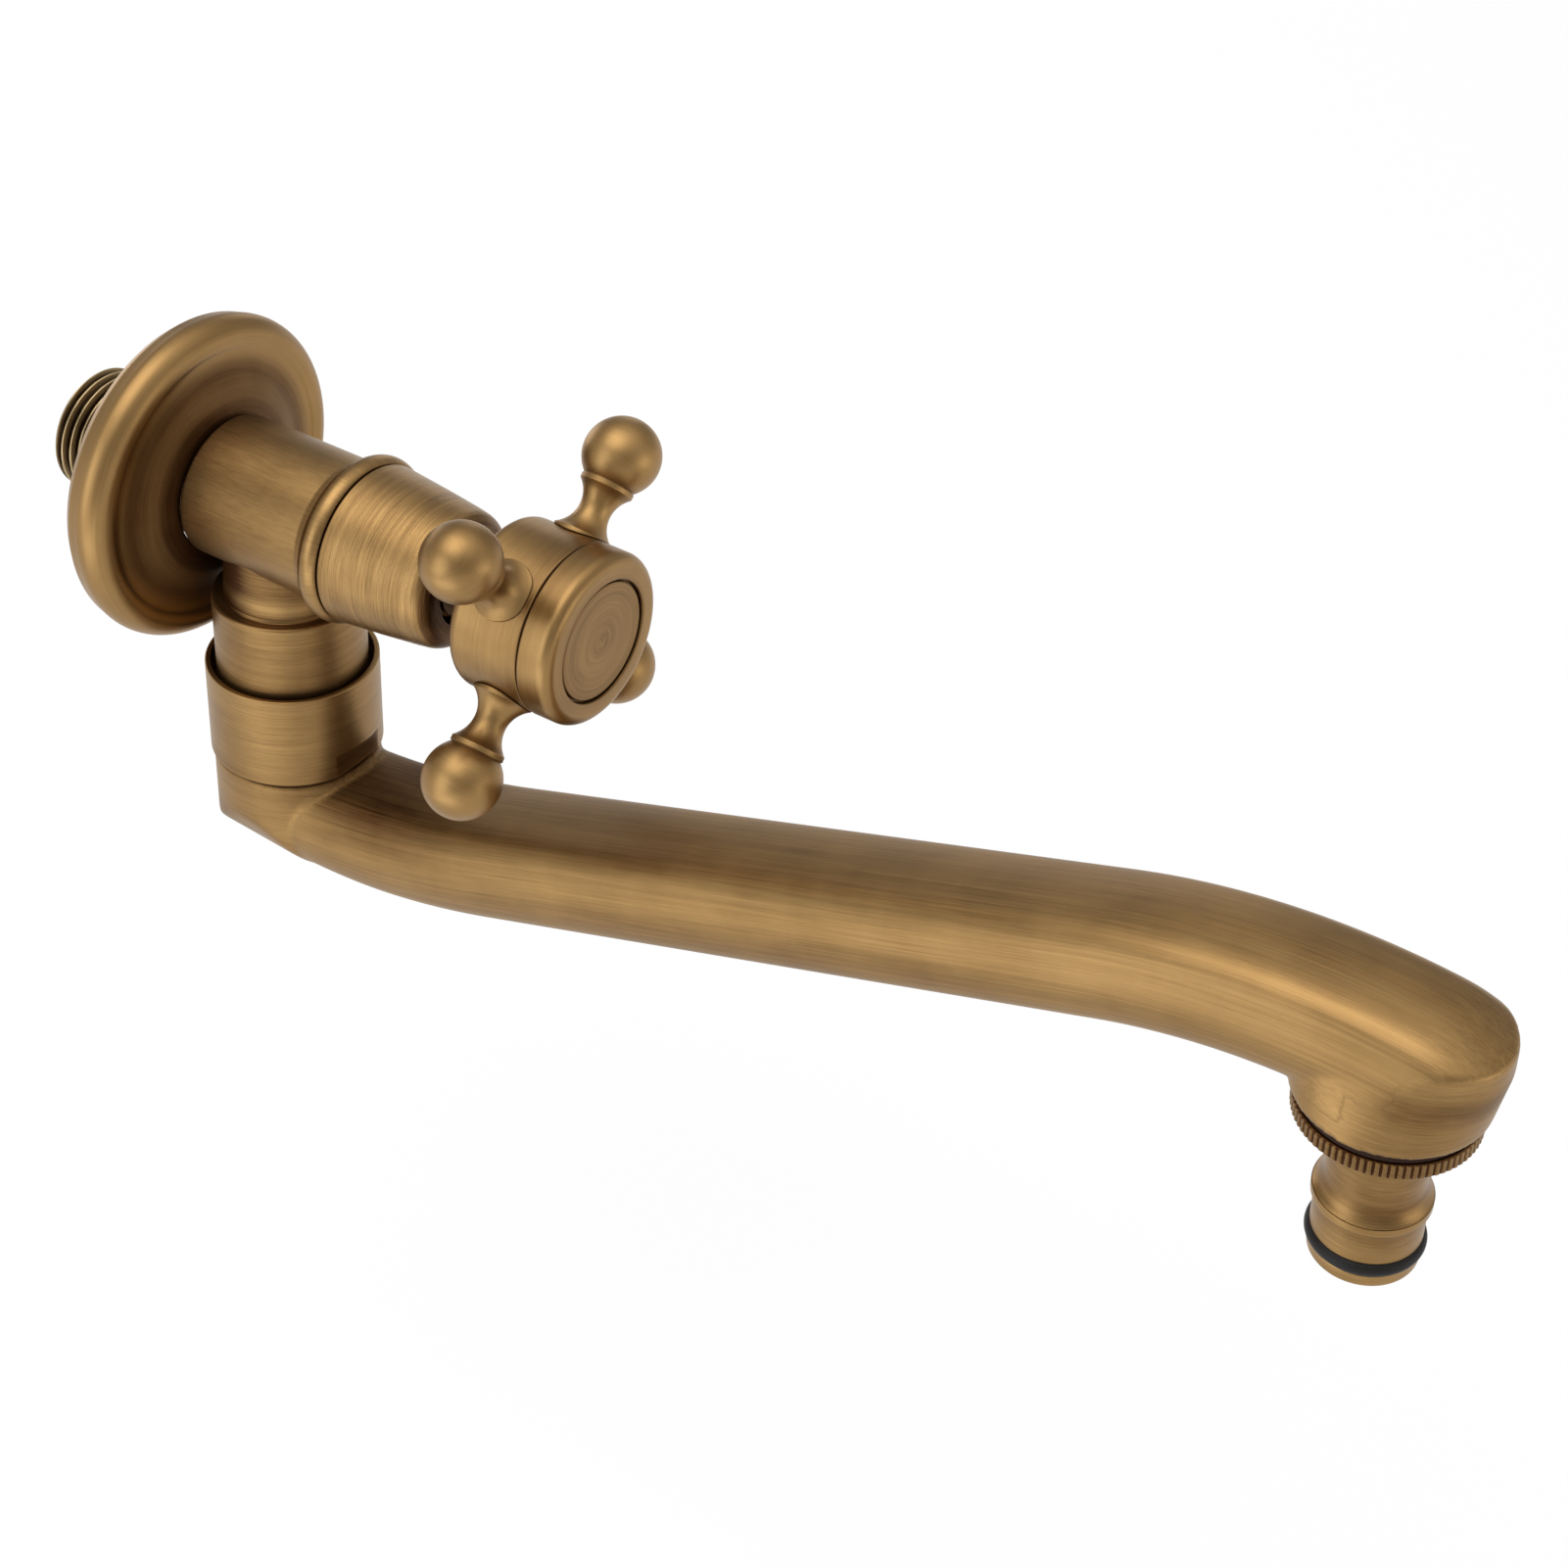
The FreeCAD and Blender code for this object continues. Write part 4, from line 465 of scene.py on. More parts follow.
# %% Branch with the neck
NECK_TOP = -15.91
branch_outline = rounded(
    [(0, -2, 0), (9.6, -2, 0), (9.78, -5.5, 0), (10.12, -11.4, 0), (10.235, -13.4, 0),
     (10.35, -15.4, 0.2), (10.55, NECK_TOP, 0.15), (12.36, NECK_TOP, 0.45),
     (12.36, -40.6, 0.3), (8.86, -40.6, 0.3), (8.86, -25.0, 0), (0, -25.0, 0)])


def branch_shade(radius, height, angle):
    """Painted shade under the barrel, on the side towards the wall, round the neck's shoulder and
    inside the nut.
    """
    wall_side_shade = ramp(np.cos(angle - 2.1), 0.35, 0.95) * (height > NECK_TOP + 0.01)
    shade_under_barrel = ramp(height, -13.6, -11.4)
    shade_inside_nut = 1 - ramp(height, -31.5, -28.6)
    return (0.80 * wall_side_shade + 0.55 * shade_under_barrel + 0.36 * bump(height, -15.7, 0.8)
            + 0.55 * shade_inside_nut)


branch = turn("branch_neck", branch_outline, UPRIGHT, SWIVEL, columns=256, tone=branch_shade)
dress(branch, turned_brass, "tap")


# %% Fillet between them
def crossing_fillet(barrel_radius, stub_radius, ball, columns=256, steps=10):
    """Fillet of a rolling ball between a barrel along Y and a stub along Z.

    The ball's centre is ball further out than both surfaces, and each row of points is the
    arc between where it touches the stub and where it touches the barrel.
    """
    angle = np.linspace(0, 2 * np.pi, columns, endpoint=False)
    across = (stub_radius + ball) * np.sin(angle)
    forward = (stub_radius + ball) * np.cos(angle)
    depth = -np.sqrt((barrel_radius + ball) ** 2 - across ** 2)
    centre = np.stack([across, forward, depth], axis=-1)
    stub = centre * [stub_radius / (stub_radius + ball), stub_radius / (stub_radius + ball), 1]
    shrink = barrel_radius / (barrel_radius + ball)
    touch = centre * [shrink, 1, shrink]
    share = np.linspace(-0.12, 1.12, steps + 1)[:, None, None]
    way = (1 - share) * (stub - centre) + share * (touch - centre)
    way = way / np.linalg.norm(way, axis=-1, keepdims=True) * ball
    return centre + way + np.array([0, SWIVEL[1], 0])


fillet_points = crossing_fillet(barrel_radius=11.87, stub_radius=9.72, ball=0.9)
fillet_lay = np.zeros_like(fillet_points)
fillet_lay[..., 0] = fillet_points[..., 0] * 0.3
fillet_lay[..., 2] = np.arange(fillet_points.shape[0])[:, None] * 0.8
fillet = grid_piece("crossing_fillet", fillet_points, fillet_lay)
dress(fillet, soft_brass, "tap")

# %% [markdown]
# ## Bonnet cover
# A tapered cover hides the cartridge. It is open in front, where the spindle comes out, and
# its brush lines run round it and are the strongest on the tap.

# %% Cover
cover_outline = rounded(
    [(11.3, 44.0, 0), (11.3, 39.95, 0), (13.22, 39.95, 0.35), (12.42, 48.5, 20), (11.66, 55.2, 6)]
    + arc((8.35, 56.3), 3.1, 8, 90, 16)
    + [(6.8, 59.4, 0.4), (6.8, 58.3, 0.2), (9.4, 57.9, 0.3), (11.3, 44.0, 0)])


def cover_shade(radius, height, angle):
    """Painted shade at the joint with the body, over the rounded front, in two soft bands between,
    inside the opening and evenly over all.
    """
    ends = 0.40 * (1 - ramp(height, 39.95, 40.4)) + 0.65 * ramp(height, 57.0, 59.2)
    soft = 0.10 * bump(height, 42.3, 1.4) + 0.12 * bump(height, 52.5, 3.0)
    return 0.07 + ends + soft + 0.5 * (radius < 7.0)


cover = turn("tapered_cover", cover_outline, columns=256, fineness=6.0, tone=cover_shade)
cover_brass = brass("cover_brass", lines=1.5, rough=0.31)
dress(cover, cover_brass, "tap", "bonnet_cover")

# %% [markdown]
# ## Cartridge and spindle
# Between cover and handle a dark gap shows the housing's nose, a clip and the spindle. They
# are turned anew with rounded edges. What lies deeper keeps its solid and gets a finish.

# %% Housing nose, clip and spindle
housing_outline = rounded(
    [(7.25, 16.8, 0), (8.9, 16.8, 0), (8.9, 31.2, 0), (10.4775, 31.2, 0.3), (10.4775, 40.4, 0),
     (11.2, 40.4, 0), (11.2, 43.8, 0.3), (9.4, 43.8, 0), (9.4, 51.8, 0.5), (6.4, 51.8, 0.2),
     (6.4, 57.4, 0.5), (4.06, 57.4, 0.3), (4.06, 28.0, 0), (7.25, 28.0, 0), (7.25, 16.8, 0)])
housing = turn("cartridge_nose", housing_outline, columns=96)
dress(housing, gap_shaded_brass, "tap", "cartridge_housing")
spindle_outline = rounded(
    [(0, 23.9, 0), (7.2, 23.9, 0), (7.2, 27.5, 0.3), (4.0, 27.5, 0), (4.0, 39.4, 0.2), (2.95, 39.4, 0),
     (2.95, 41.1, 0), (4.0, 41.1, 0.2), (4.0, 57.6, 0.2), (2.95, 57.6, 0), (2.95, 58.6, 0),
     (4.0, 58.6, 0.2), (4.0, 69.5, 0.3), (3.7, 69.6, 0), (3.7, 74.2, 0), (0, 74.2, 0)])
spindle = turn("spindle_shaft", spindle_outline, columns=96)
dress(spindle, gap_shaded_brass, "handle", "spindle")

# %% [markdown]
# ## Cross handle
# The hub is a short barrel with a rounded rear edge. Each arm is one turned piece that is
# screwed in on a round foot: a waist, a thin ridge and a ball. The foot's edge follows the
# hub's curve and is pinched into a fine groove round it, darkened with painted shade.

# %% Hub
HUB_RADIUS, HUB_BACK, HUB_FRONT = 14.0, 66.0, 79.3
hub_outline = rounded(
    [(3.75, 74.5, 0), (3.75, 69.8, 0), (10.4, 69.8, 0.4), (10.4, HUB_BACK, 0.5),
     (HUB_RADIUS, HUB_BACK, 2.4), (HUB_RADIUS, HUB_FRONT, 0.3), (11.5, HUB_FRONT, 0.1), (11.5, 77.0, 0),
     (4.9, 77.0, 0), (4.9, 74.5, 0), (3.75, 74.5, 0)], steps=8)


def hub_shade(radius, height, angle):
    """Painted shade at the joint with the cap, a little at the rear edge, and on the faces inside."""
    edges = 0.4 * ramp(height, 78.6, HUB_FRONT) + 0.2 * (1 - ramp(height, HUB_BACK, 68.4))
    return edges + 0.4 * (radius < 13.0)


hub = turn("handle_barrel", hub_outline, columns=256, tone=hub_shade)
hub_brass = brass("hub_brass", lines=0.55, rough=0.35)
dress(hub, hub_brass, "handle", "handle_hub")

# %% Outline of an arm
FOOT_RADIUS, WAIST_RADIUS, RIDGE_RADIUS, BALL_RADIUS = 4.9, 2.58, 4.35, 6.25
FOOT_BOTTOM, WAIST_PLACE, RIDGE_PLACE, BALL_PLACE = 12.4, 18.1, 21.95, 27.6
BALL_NECK = 4.1


def waist_arc(run, rise):
    """Radius and angle of the arc that leaves the waist upright and is rise wider after run."""
    radius = (run ** 2 + rise ** 2) / (2 * rise)
    return radius, math.degrees(math.asin(run / radius))


low_radius, low_turn = waist_arc(WAIST_PLACE - HUB_RADIUS, FOOT_RADIUS - WAIST_RADIUS)
high_radius, high_turn = waist_arc(RIDGE_PLACE - WAIST_PLACE, RIDGE_RADIUS - WAIST_RADIUS)
ball_start = -math.degrees(math.acos(BALL_NECK / BALL_RADIUS))
arm_outline = rounded(
    [(0, FOOT_BOTTOM, 0), (4.86, FOOT_BOTTOM, 0), (4.86, 12.9, 0), (4.86, 13.1, 0),
     (FOOT_RADIUS, 13.5, 0)]
    + arc((WAIST_RADIUS + low_radius, WAIST_PLACE), low_radius, 180 + low_turn, 180, 20)
    + arc((WAIST_RADIUS + high_radius, WAIST_PLACE), high_radius, 180, 180 - high_turn, 20)[1:-1]
    + [(RIDGE_RADIUS, RIDGE_PLACE, 0.12), (4.38, 22.75, 0.15), (4.12, 22.88, 0.05)]
    + arc((0, BALL_PLACE), BALL_RADIUS, ball_start, 90, 48)[1:])
arm_outline[-1, 0] = 0
dense = [arm_outline[:1]]
for first, last in zip(arm_outline[:-1], arm_outline[1:]):
    pieces = 14 if FOOT_BOTTOM < last[1] < 14.6 else 1
    dense.append(first + (last - first) * (np.arange(1, pieces + 1) / pieces)[:, None])
arm_outline = np.concatenate(dense)
print("arm outline:", len(arm_outline), "points")

# %% Seam round the foot
FOOT_PINCH = 0.22


def hub_surface(radius, angle):
    """Where the hub's cylinder meets the foot: root of hub radius^2 - sideways^2."""
    return np.sqrt(np.maximum(HUB_RADIUS ** 2 - (radius * np.sin(angle)) ** 2, 0)) + 0.02


def foot_bend(radius, height, angle):
    """Pinches the foot along the line where the hub's cylinder meets it."""
    near = bump(height, hub_surface(radius, angle), 0.10)
    return radius - FOOT_PINCH * near * (height < 14.6)


def arm_shade(radius, height, angle):
    """Painted shade in a line where the foot enters the hub, and soft painted shade under the ridge and
    the ball.
    """
    seam = bump(height, hub_surface(radius, angle), 0.16) * (height < 14.8)
    return 1.2 * seam + 0.30 * bump(height, 21.4, 0.5) + 0.35 * bump(height, 23.0, 0.35)


# %% Four arms
ARM_PLANE = 73.7
REST_ANGLE = 43.17
arm_brass = brass("arm_brass", lines=0.35, mottle=0.9, rough=0.40)
for number in range(1, 5):
    around = math.radians(REST_ANGLE + 90 * (1 - number))
    way = np.array([math.cos(around), 0, math.sin(around)])
    axes = np.array([[0, -1, 0], np.cross(way, [0, -1, 0]), way])
    arm = turn(f"ball_arm_{number}", arm_outline, axes, (0, -ARM_PLANE, 0), columns=96, bend=foot_bend,
               tone=arm_shade)
    dress(arm, arm_brass, "handle", f"handle_arm_{number}")

# %% [markdown]
# ## Cap and index disc
# A ring with a well-rounded shoulder closes the hub. In its opening sits a flat disc with a
# dark groove round it. The disc shows the rings of the lathe tool, strongest in the middle.

# %% Cap ring
CAP_RADIUS, CAP_BACK, CAP_FRONT, OPENING = 14.05, 79.45, 85.25, 10.05
cap_outline = rounded(
    [(8.4, 77.05, 0), (11.45, 77.05, 0), (11.45, CAP_BACK, 0.05), (CAP_RADIUS, CAP_BACK, 0.35),
     (CAP_RADIUS, CAP_FRONT, 3.05), (OPENING, CAP_FRONT, 0.25), (OPENING, 84.25, 0.1), (9.0, 84.2, 0),
     (8.4, 83.1, 0), (8.4, 77.05, 0)], steps=10)


def cap_shade(radius, height, angle):
    """Painted shade at the joint with the hub, round the opening, in a soft band on the side and evenly
    over all.
    """
    edges = 0.42 * (1 - ramp(height, CAP_BACK, 80.1)) + 0.5 * (1 - ramp(radius, OPENING, 10.5))
    return 0.05 + edges + 0.12 * bump(height, 81.4, 1.0)


cap = turn("cap_with_opening", cap_outline, columns=256, tone=cap_shade)
cap_brass = brass("cap_brass", lines=0.5, rough=0.36)
dress(cap, cap_brass, "handle", "cap_ring")

# %% Index disc
DISC_RADIUS, DISC_BACK, DISC_FRONT = 9.7, 83.15, 84.95
disc_outline = rounded(
    [(0, DISC_BACK, 0), (DISC_RADIUS, DISC_BACK, 0), (DISC_RADIUS, DISC_FRONT, 0.25)]
    + [(radius, DISC_FRONT, 0) for radius in np.linspace(9.0, 0.0, 46)])


def disc_shade_and_highlight(radius, height, angle):
    """Even painted shade, a painted highlight half way out, and painted shade at the edge."""
    return 0.25 - 0.12 * bump(radius, 5.0, 2.0) + 0.6 * ramp(radius, 9.5, DISC_RADIUS)


disc = turn("index_plate", disc_outline, columns=192, fineness=4.0, sweep=0.5, tone=disc_shade_and_highlight)
disc_brass = brass("disc_brass", mottle=0.4, rough=0.40)
dress(disc, disc_brass, "handle", "index_disc")

# %% [markdown]
# ## Spout nut
# A plain round nut carries the spout. Its open rim stands clear of the neck and leaves a
# dark ring, and two spanner flats are milled into its lower edge.

# %% Nut with flats
NUT_RADIUS, NUT_BOTTOM = 14.17, -45.9
FLAT_PLANE, FLAT_TOP = 13.24, -41.5


def flat_bend(radius, height, angle):
    """Limits the radius to plane / |sin(angle)| below the flats' upper edge."""
    limit = FLAT_PLANE / np.maximum(np.abs(np.sin(angle)), 1e-6)
    return np.where((height < FLAT_TOP) & (radius > 13.3), np.minimum(radius, limit), radius)


nut_outline = rounded(
    [(9.4, -43.9, 0), (9.4, NUT_BOTTOM, 0.2), (13.0, NUT_BOTTOM, 0), (NUT_RADIUS, NUT_BOTTOM, 0.3),
     (NUT_RADIUS, FLAT_TOP - 0.01, 0), (NUT_RADIUS, FLAT_TOP + 0.01, 0), (NUT_RADIUS, -41.2, 0),
     (NUT_RADIUS, -28.9, 0.3), (13.25, -28.9, 0.2), (13.2, -31.5, 0), (12.4, -31.5, 0),
     (12.4, -43.9, 0), (9.4, -43.9, 0)])


def nut_shade(radius, height, angle):
    """Painted shade inside the rim, at the lower edge, a little on the flats, and evenly over all."""
    inside = (radius < 13.3) & (height > FLAT_TOP)
    flats = (radius < 14.0) & (height < FLAT_TOP)
    return 0.08 + 0.45 * inside + 0.12 * flats + 0.35 * (1 - ramp(height, NUT_BOTTOM, -45.2))


nut = turn("swivel_nut", nut_outline, UPRIGHT, SWIVEL, columns=288, bend=flat_bend, tone=nut_shade)
dress(nut, turned_brass, "tap", "spout_nut")

# %% [markdown]
# ## The S-shaped spout
# This is the piece that takes the most skill. A round head stands under the nut, an oval arm
# leaves it, rises in an S and ends in a rounded nose over a tapered nozzle. The arm's section
# is carried along the S as whole arrays: position = middle line + across * X + up * normal.
# One Boolean trims the arm's end to long elliptic corners, and the head's bottom is bent so that
# it carries on the arm's belly. Head, arm and nozzle are closed shells that overlap. A voxel
# remesh joins them and a few smoothing passes round the inner corners, which more Booleans
# would leave sharp.

# %% Middle line and section of the arm
ARM_DROP, SLOPE = 57.0, math.radians(18.0)
LOWER_BEND, UPPER_BEND = 145.0, 115.0
REACH, CREST_BACK = 197.7, 8.2
ARM_WIDTH, ARM_HEIGHT = 23.0, 17.7
CROWN, BELLY, SIDE, SHOULDER = 30.0, 24.0, 12.0, 5.5


def middle_line(run):
    """Height and slope of the arm's middle at a distance from the swivel axis.

    A circle bends the line up to 18 degrees, a straight part follows, and a second circle
    bends it back to level and a little down.
    """
    first = LOWER_BEND * math.sin(SLOPE)
    crest = REACH - CREST_BACK
    second = crest - UPPER_BEND * math.sin(SLOPE)
    low = -ARM_DROP + LOWER_BEND * (1 - math.cos(SLOPE))
    high = low + (second - first) * math.tan(SLOPE)
    top = high + UPPER_BEND * (1 - math.cos(SLOPE))
    lower = -ARM_DROP + LOWER_BEND - np.sqrt(LOWER_BEND ** 2 - np.clip(run, 0, first) ** 2)
    straight = low + (run - first) * math.tan(SLOPE)
    upper = top - UPPER_BEND + np.sqrt(UPPER_BEND ** 2 - np.clip(run - crest, second - crest, 60) ** 2)
    height = np.where(run < first, lower, np.where(run < second, straight, upper))
    rising = np.arcsin(np.clip(run, 0, first) / LOWER_BEND)
    falling = np.arcsin(np.clip((crest - run) / UPPER_BEND, -1, 1))
    return height, np.where(run < first, rising, np.where(run < second, SLOPE, falling))


def oval(steps=96):
    """Closed outline of the arm's section: crown, belly, bowed sides and four shoulders."""
    def crossing(first, first_radius, second, second_radius):
        way = second - first
        length = np.linalg.norm(way)
        along = (first_radius ** 2 - second_radius ** 2 + length ** 2) / (2 * length)
        off = math.sqrt(first_radius ** 2 - along ** 2)
        base = first + way / length * along
        side = np.array([-way[1], way[0]]) / length * off
        return max(base + side, base - side, key=lambda spot: spot[0])

    top = np.array([0, ARM_HEIGHT / 2 - CROWN])
    under = np.array([0, BELLY - ARM_HEIGHT / 2])
    flank = np.array([ARM_WIDTH / 2 - SIDE, 0])
    high = crossing(top, CROWN - SHOULDER, flank, SIDE - SHOULDER)
    low = crossing(under, BELLY - SHOULDER, flank, SIDE - SHOULDER)

    def heading(vector):
        return math.degrees(math.atan2(vector[1], vector[0]))

    right = [arc(under, BELLY, -90, heading(low - under), 12),
             arc(low, SHOULDER, heading(low - under), heading(low - flank), 12),
             arc(flank, SIDE, heading(low - flank), heading(high - flank), 12),
             arc(high, SHOULDER, heading(high - flank), heading(high - top), 12),
             arc(top, CROWN, heading(high - top), 90, 12)]
    half = np.concatenate([curve[:-1] for curve in right] + [[(0, ARM_HEIGHT / 2)]])
    whole = np.concatenate([half, half[-2:0:-1] * [-1, 1]])
    return evenly(np.vstack([whole, whole[:1]]), steps)


section = oval()
print("section in mm:", np.round(section.max(0) - section.min(0), 2))

# %% Arm shell
FRONT = 16.0  # how far the arm's end lies in front of the nozzle's axis
BELLY_SLOPE, ELBOW_RUN, ELBOW_SOFTNESS = 0.085, 21.4, 8.0
NOSE_FALL, NOSE_START = 0.024, 4.0
NOZZLE_BOTTOM, NOZZLE_SHOULDER, NOZZLE_RADIUS = -18.4, -9.1, 14.25
runs = np.concatenate([np.linspace(0.0, 60.0, 70), np.linspace(61.0, REACH + FRONT + 4, 160)])
heights, slopes = middle_line(runs)
across = np.repeat(section[None, :, 0], runs.size, 0)
upward = np.repeat(section[None, :, 1], runs.size, 0)
# The belly meets the head at a small angle: half of (x + root of x^2 + softness^2) is a soft ramp.
to_go = ELBOW_RUN - runs
elbow = BELLY_SLOPE * 0.5 * (to_go + np.sqrt(to_go ** 2 + ELBOW_SOFTNESS ** 2))[:, None]
upward = upward + elbow * np.clip(0.5 - upward / ARM_HEIGHT, 0, 1)
arm_points = np.stack([across,
                       SWIVEL[1] - runs[:, None] + upward * np.sin(slopes)[:, None],
                       heights[:, None] + upward * np.cos(slopes)[:, None]], axis=-1)
# The crown falls off as a square over the nozzle, and the belly ends inside the nozzle.
fall = NOSE_FALL * np.clip(runs - REACH - NOSE_START, 0, None)[:, None] ** 2
arm_points[..., 2] -= fall * (upward > 0)
over_nozzle = runs > REACH - 8
arm_points[over_nozzle, :, 2] = np.maximum(arm_points[over_nozzle, :, 2], NOZZLE_BOTTOM + 0.5)


def shell_piece(name, points):
    """Rows of points as a closed shell: both ends are brought to a middle point."""
    first = np.repeat(points[:1].mean(1, keepdims=True), points.shape[1], 1)
    last = np.repeat(points[-1:].mean(1, keepdims=True), points.shape[1], 1)
    whole = np.concatenate([first, points, last])
    return grid_piece(name, whole, whole * 0)


arm_shell = shell_piece("arm_shell", arm_points)
print("arm:", len(arm_shell.data.polygons), "faces")

# %% Outline of the arm's end, seen from above
CORNER, CORNER_LENGTH = 11.2, 13.5
NOZZLE_REAR = -14.5


def plan_corners(half, steps=24, count=192):
    """Rectangle with long elliptic corners as evenly spaced points (across, ahead) in mm."""
    quarter = np.linspace(0, np.pi / 2, steps)
    arcs = []
    for number, (side, end) in enumerate(((1, 1), (-1, 1), (-1, -1), (1, -1))):
        angle = quarter + number * np.pi / 2
        arcs.append(np.column_stack([side * (half - CORNER) + CORNER * np.cos(angle),
                                     end * (FRONT - CORNER_LENGTH) + CORNER_LENGTH * np.sin(angle)]))
    return evenly(np.concatenate(arcs + [arcs[0][:1]]), count)


def stacked(plans, levels):
    """Grid of points from plans at rising levels, round the nozzle's axis."""
    return np.stack([
        np.column_stack([-plan[:, 0], SWIVEL[1] - REACH - plan[:, 1], np.full(len(plan), level)])
        for plan, level in zip(plans, levels)])


# %% Trim of the arm's end
def trim_points(far=30.0, deep=-90.0):
    """Tall prism round all of the arm: upright above the nozzle's shoulder, leaning in below it."""
    plan = plan_corners(ARM_WIDTH / 2 + 0.1)
    plan[:, 1] = np.where(plan[:, 1] < 0, plan[:, 1] - REACH - far, plan[:, 1])
    low = plan.copy()
    low[:, 1] = np.where(low[:, 1] > 0, low[:, 1] * NOZZLE_RADIUS / FRONT, low[:, 1])
    return stacked([low, low, plan, plan], [deep, NOZZLE_BOTTOM, NOZZLE_SHOULDER, far])


def evaluated(piece):
    """Mesh of an object with its modifiers applied."""
    bpy.context.view_layer.update()
    return bpy.data.meshes.new_from_object(piece.evaluated_get(bpy.context.evaluated_depsgraph_get()))


trim = shell_piece("end_trim", trim_points())
cut = arm_shell.modifiers.new("round_end", "BOOLEAN")
cut.operation = "INTERSECT"
cut.solver = "EXACT"
cut.object = trim
arm_shell.data = evaluated(arm_shell)
arm_shell.modifiers.clear()
bpy.data.objects.remove(trim)
print("arm after its trim:", len(arm_shell.data.polygons), "faces")


# %% Nozzle shell
def nozzle_points(rows=24):
    """Rows that mix the circle at the bottom, point by point, with the end's outline at the shoulder.

    Above the shoulder the outline shrinks into the arm, so that no edge of it shows.
    """
    shoulder = plan_corners(ARM_WIDTH / 2 - 0.15)
    shoulder[:, 1] = np.maximum(shoulder[:, 1], NOZZLE_REAR)
    circle = shoulder / np.linalg.norm(shoulder, axis=1, keepdims=True) * NOZZLE_RADIUS
    share = np.linspace(0, 1, rows)[:, None, None]
    plans = list(circle * (1 - share) + shoulder * share) + [shoulder * 0.9, shoulder * 0.7]
    levels = list(np.linspace(NOZZLE_BOTTOM, NOZZLE_SHOULDER, rows)) + [NOZZLE_SHOULDER + 1.2] * 2
    return stacked(plans, levels)


nozzle_shell = shell_piece("nozzle_shell", nozzle_points())
print("nozzle:", len(nozzle_shell.data.polygons), "faces")

# %% Head shell
HEAD_RADIUS, HEAD_TOP, HEAD_BOTTOM = 13.7, -46.4, -64.0
head_outline = rounded(
    [(0, HEAD_TOP, 0), (HEAD_RADIUS, HEAD_TOP, 0.3), (HEAD_RADIUS, HEAD_BOTTOM, 1.5)]
    + [(radius, HEAD_BOTTOM, 0) for radius in np.linspace(12.0, 0.0, 13)], steps=12)


def vertex_places(mesh):
    """Places of a mesh's vertices in mm, one row each."""
    spots = np.empty(len(mesh.vertices) * 3)
    mesh.vertices.foreach_get("co", spots)
    return spots.reshape(-1, 3) / MM


def shape_head(mesh):
    """Stretches the head so that its bottom rises sideways and slopes as the arm's belly does."""
    spots = vertex_places(mesh)
    sideways = np.abs(spots[:, 0])
    ahead = SWIVEL[1] - spots[:, 1]
    belly = BELLY - np.sqrt(BELLY ** 2 - sideways ** 2)
    rim = 5 * np.clip((sideways - 7.5) / 6.2, 0, 1) ** 2.2
    bottom = HEAD_BOTTOM + (belly + rim) - BELLY_SLOPE * ahead
    depth = (HEAD_TOP - spots[:, 2]) / (HEAD_TOP - HEAD_BOTTOM)
    spots[:, 2] = HEAD_TOP - depth * (HEAD_TOP - bottom)
    mesh.vertices.foreach_set("co", (spots * MM).reshape(-1))


head_shell = turn("head_shell", head_outline, UPRIGHT, SWIVEL, columns=160)
shape_head(head_shell.data)
print("head:", len(head_shell.data.polygons), "faces")

# %% Join the spout and round its inner corners
joined = bmesh.new()
for shell in (arm_shell, head_shell, nozzle_shell):
    joined.from_mesh(shell.data)
    bpy.data.objects.remove(shell)
spout_mesh = bpy.data.meshes.new("spout_skin")
joined.to_mesh(spout_mesh)
joined.free()
spout = add_object("s_spout", spout_mesh)
remesh = spout.modifiers.new("one_skin", "REMESH")
remesh.mode = "VOXEL"
remesh.voxel_size = 0.5 * MM
remesh.adaptivity = 0.0
smooth = spout.modifiers.new("soft_corners", "SMOOTH")
smooth.factor = 0.5
smooth.iterations = 9
spout.data = evaluated(spout)
spout.modifiers.clear()
spout.data.shade_smooth()
print("spout:", len(spout.data.polygons), "faces")

# %% Brush lines on the spout
ALONG_FINE, ALONG_SLOW = 3.2, 0.055  # change of the lay per mm, across the arm and along it
ROUND_SWEEP, ROUND_FINE = 2.2, 5.0


def lay_round(spots, run):
    """Lay that runs round the upright axis at run 0."""
    turned = np.arctan2(spots[:, 0], run)
    return np.stack([np.cos(turned) * ROUND_SWEEP, np.sin(turned) * ROUND_SWEEP,
                     spots[:, 2] * ROUND_FINE], axis=-1)


def spout_lay(spots, run, above):
    """Along the arm the lines follow it; on the nozzle's flank and the head they run round."""
    along = np.stack([spots[:, 0] * ALONG_FINE, above * ALONG_FINE, run * ALONG_SLOW], axis=-1)
    outside = np.hypot(spots[:, 0], run - REACH) > 12.2
    flank = ((spots[:, 2] < -5.0) & (run > REACH - 2) & outside
             | (spots[:, 2] < -15.5) & (run > REACH - 16))
    on_head = (np.hypot(spots[:, 0], run) < 14.2) & (run < 12.5)
    lay = np.where(on_head[:, None], lay_round(spots, run), along)
    return np.where(flank[:, None], lay_round(spots, run - REACH), lay)


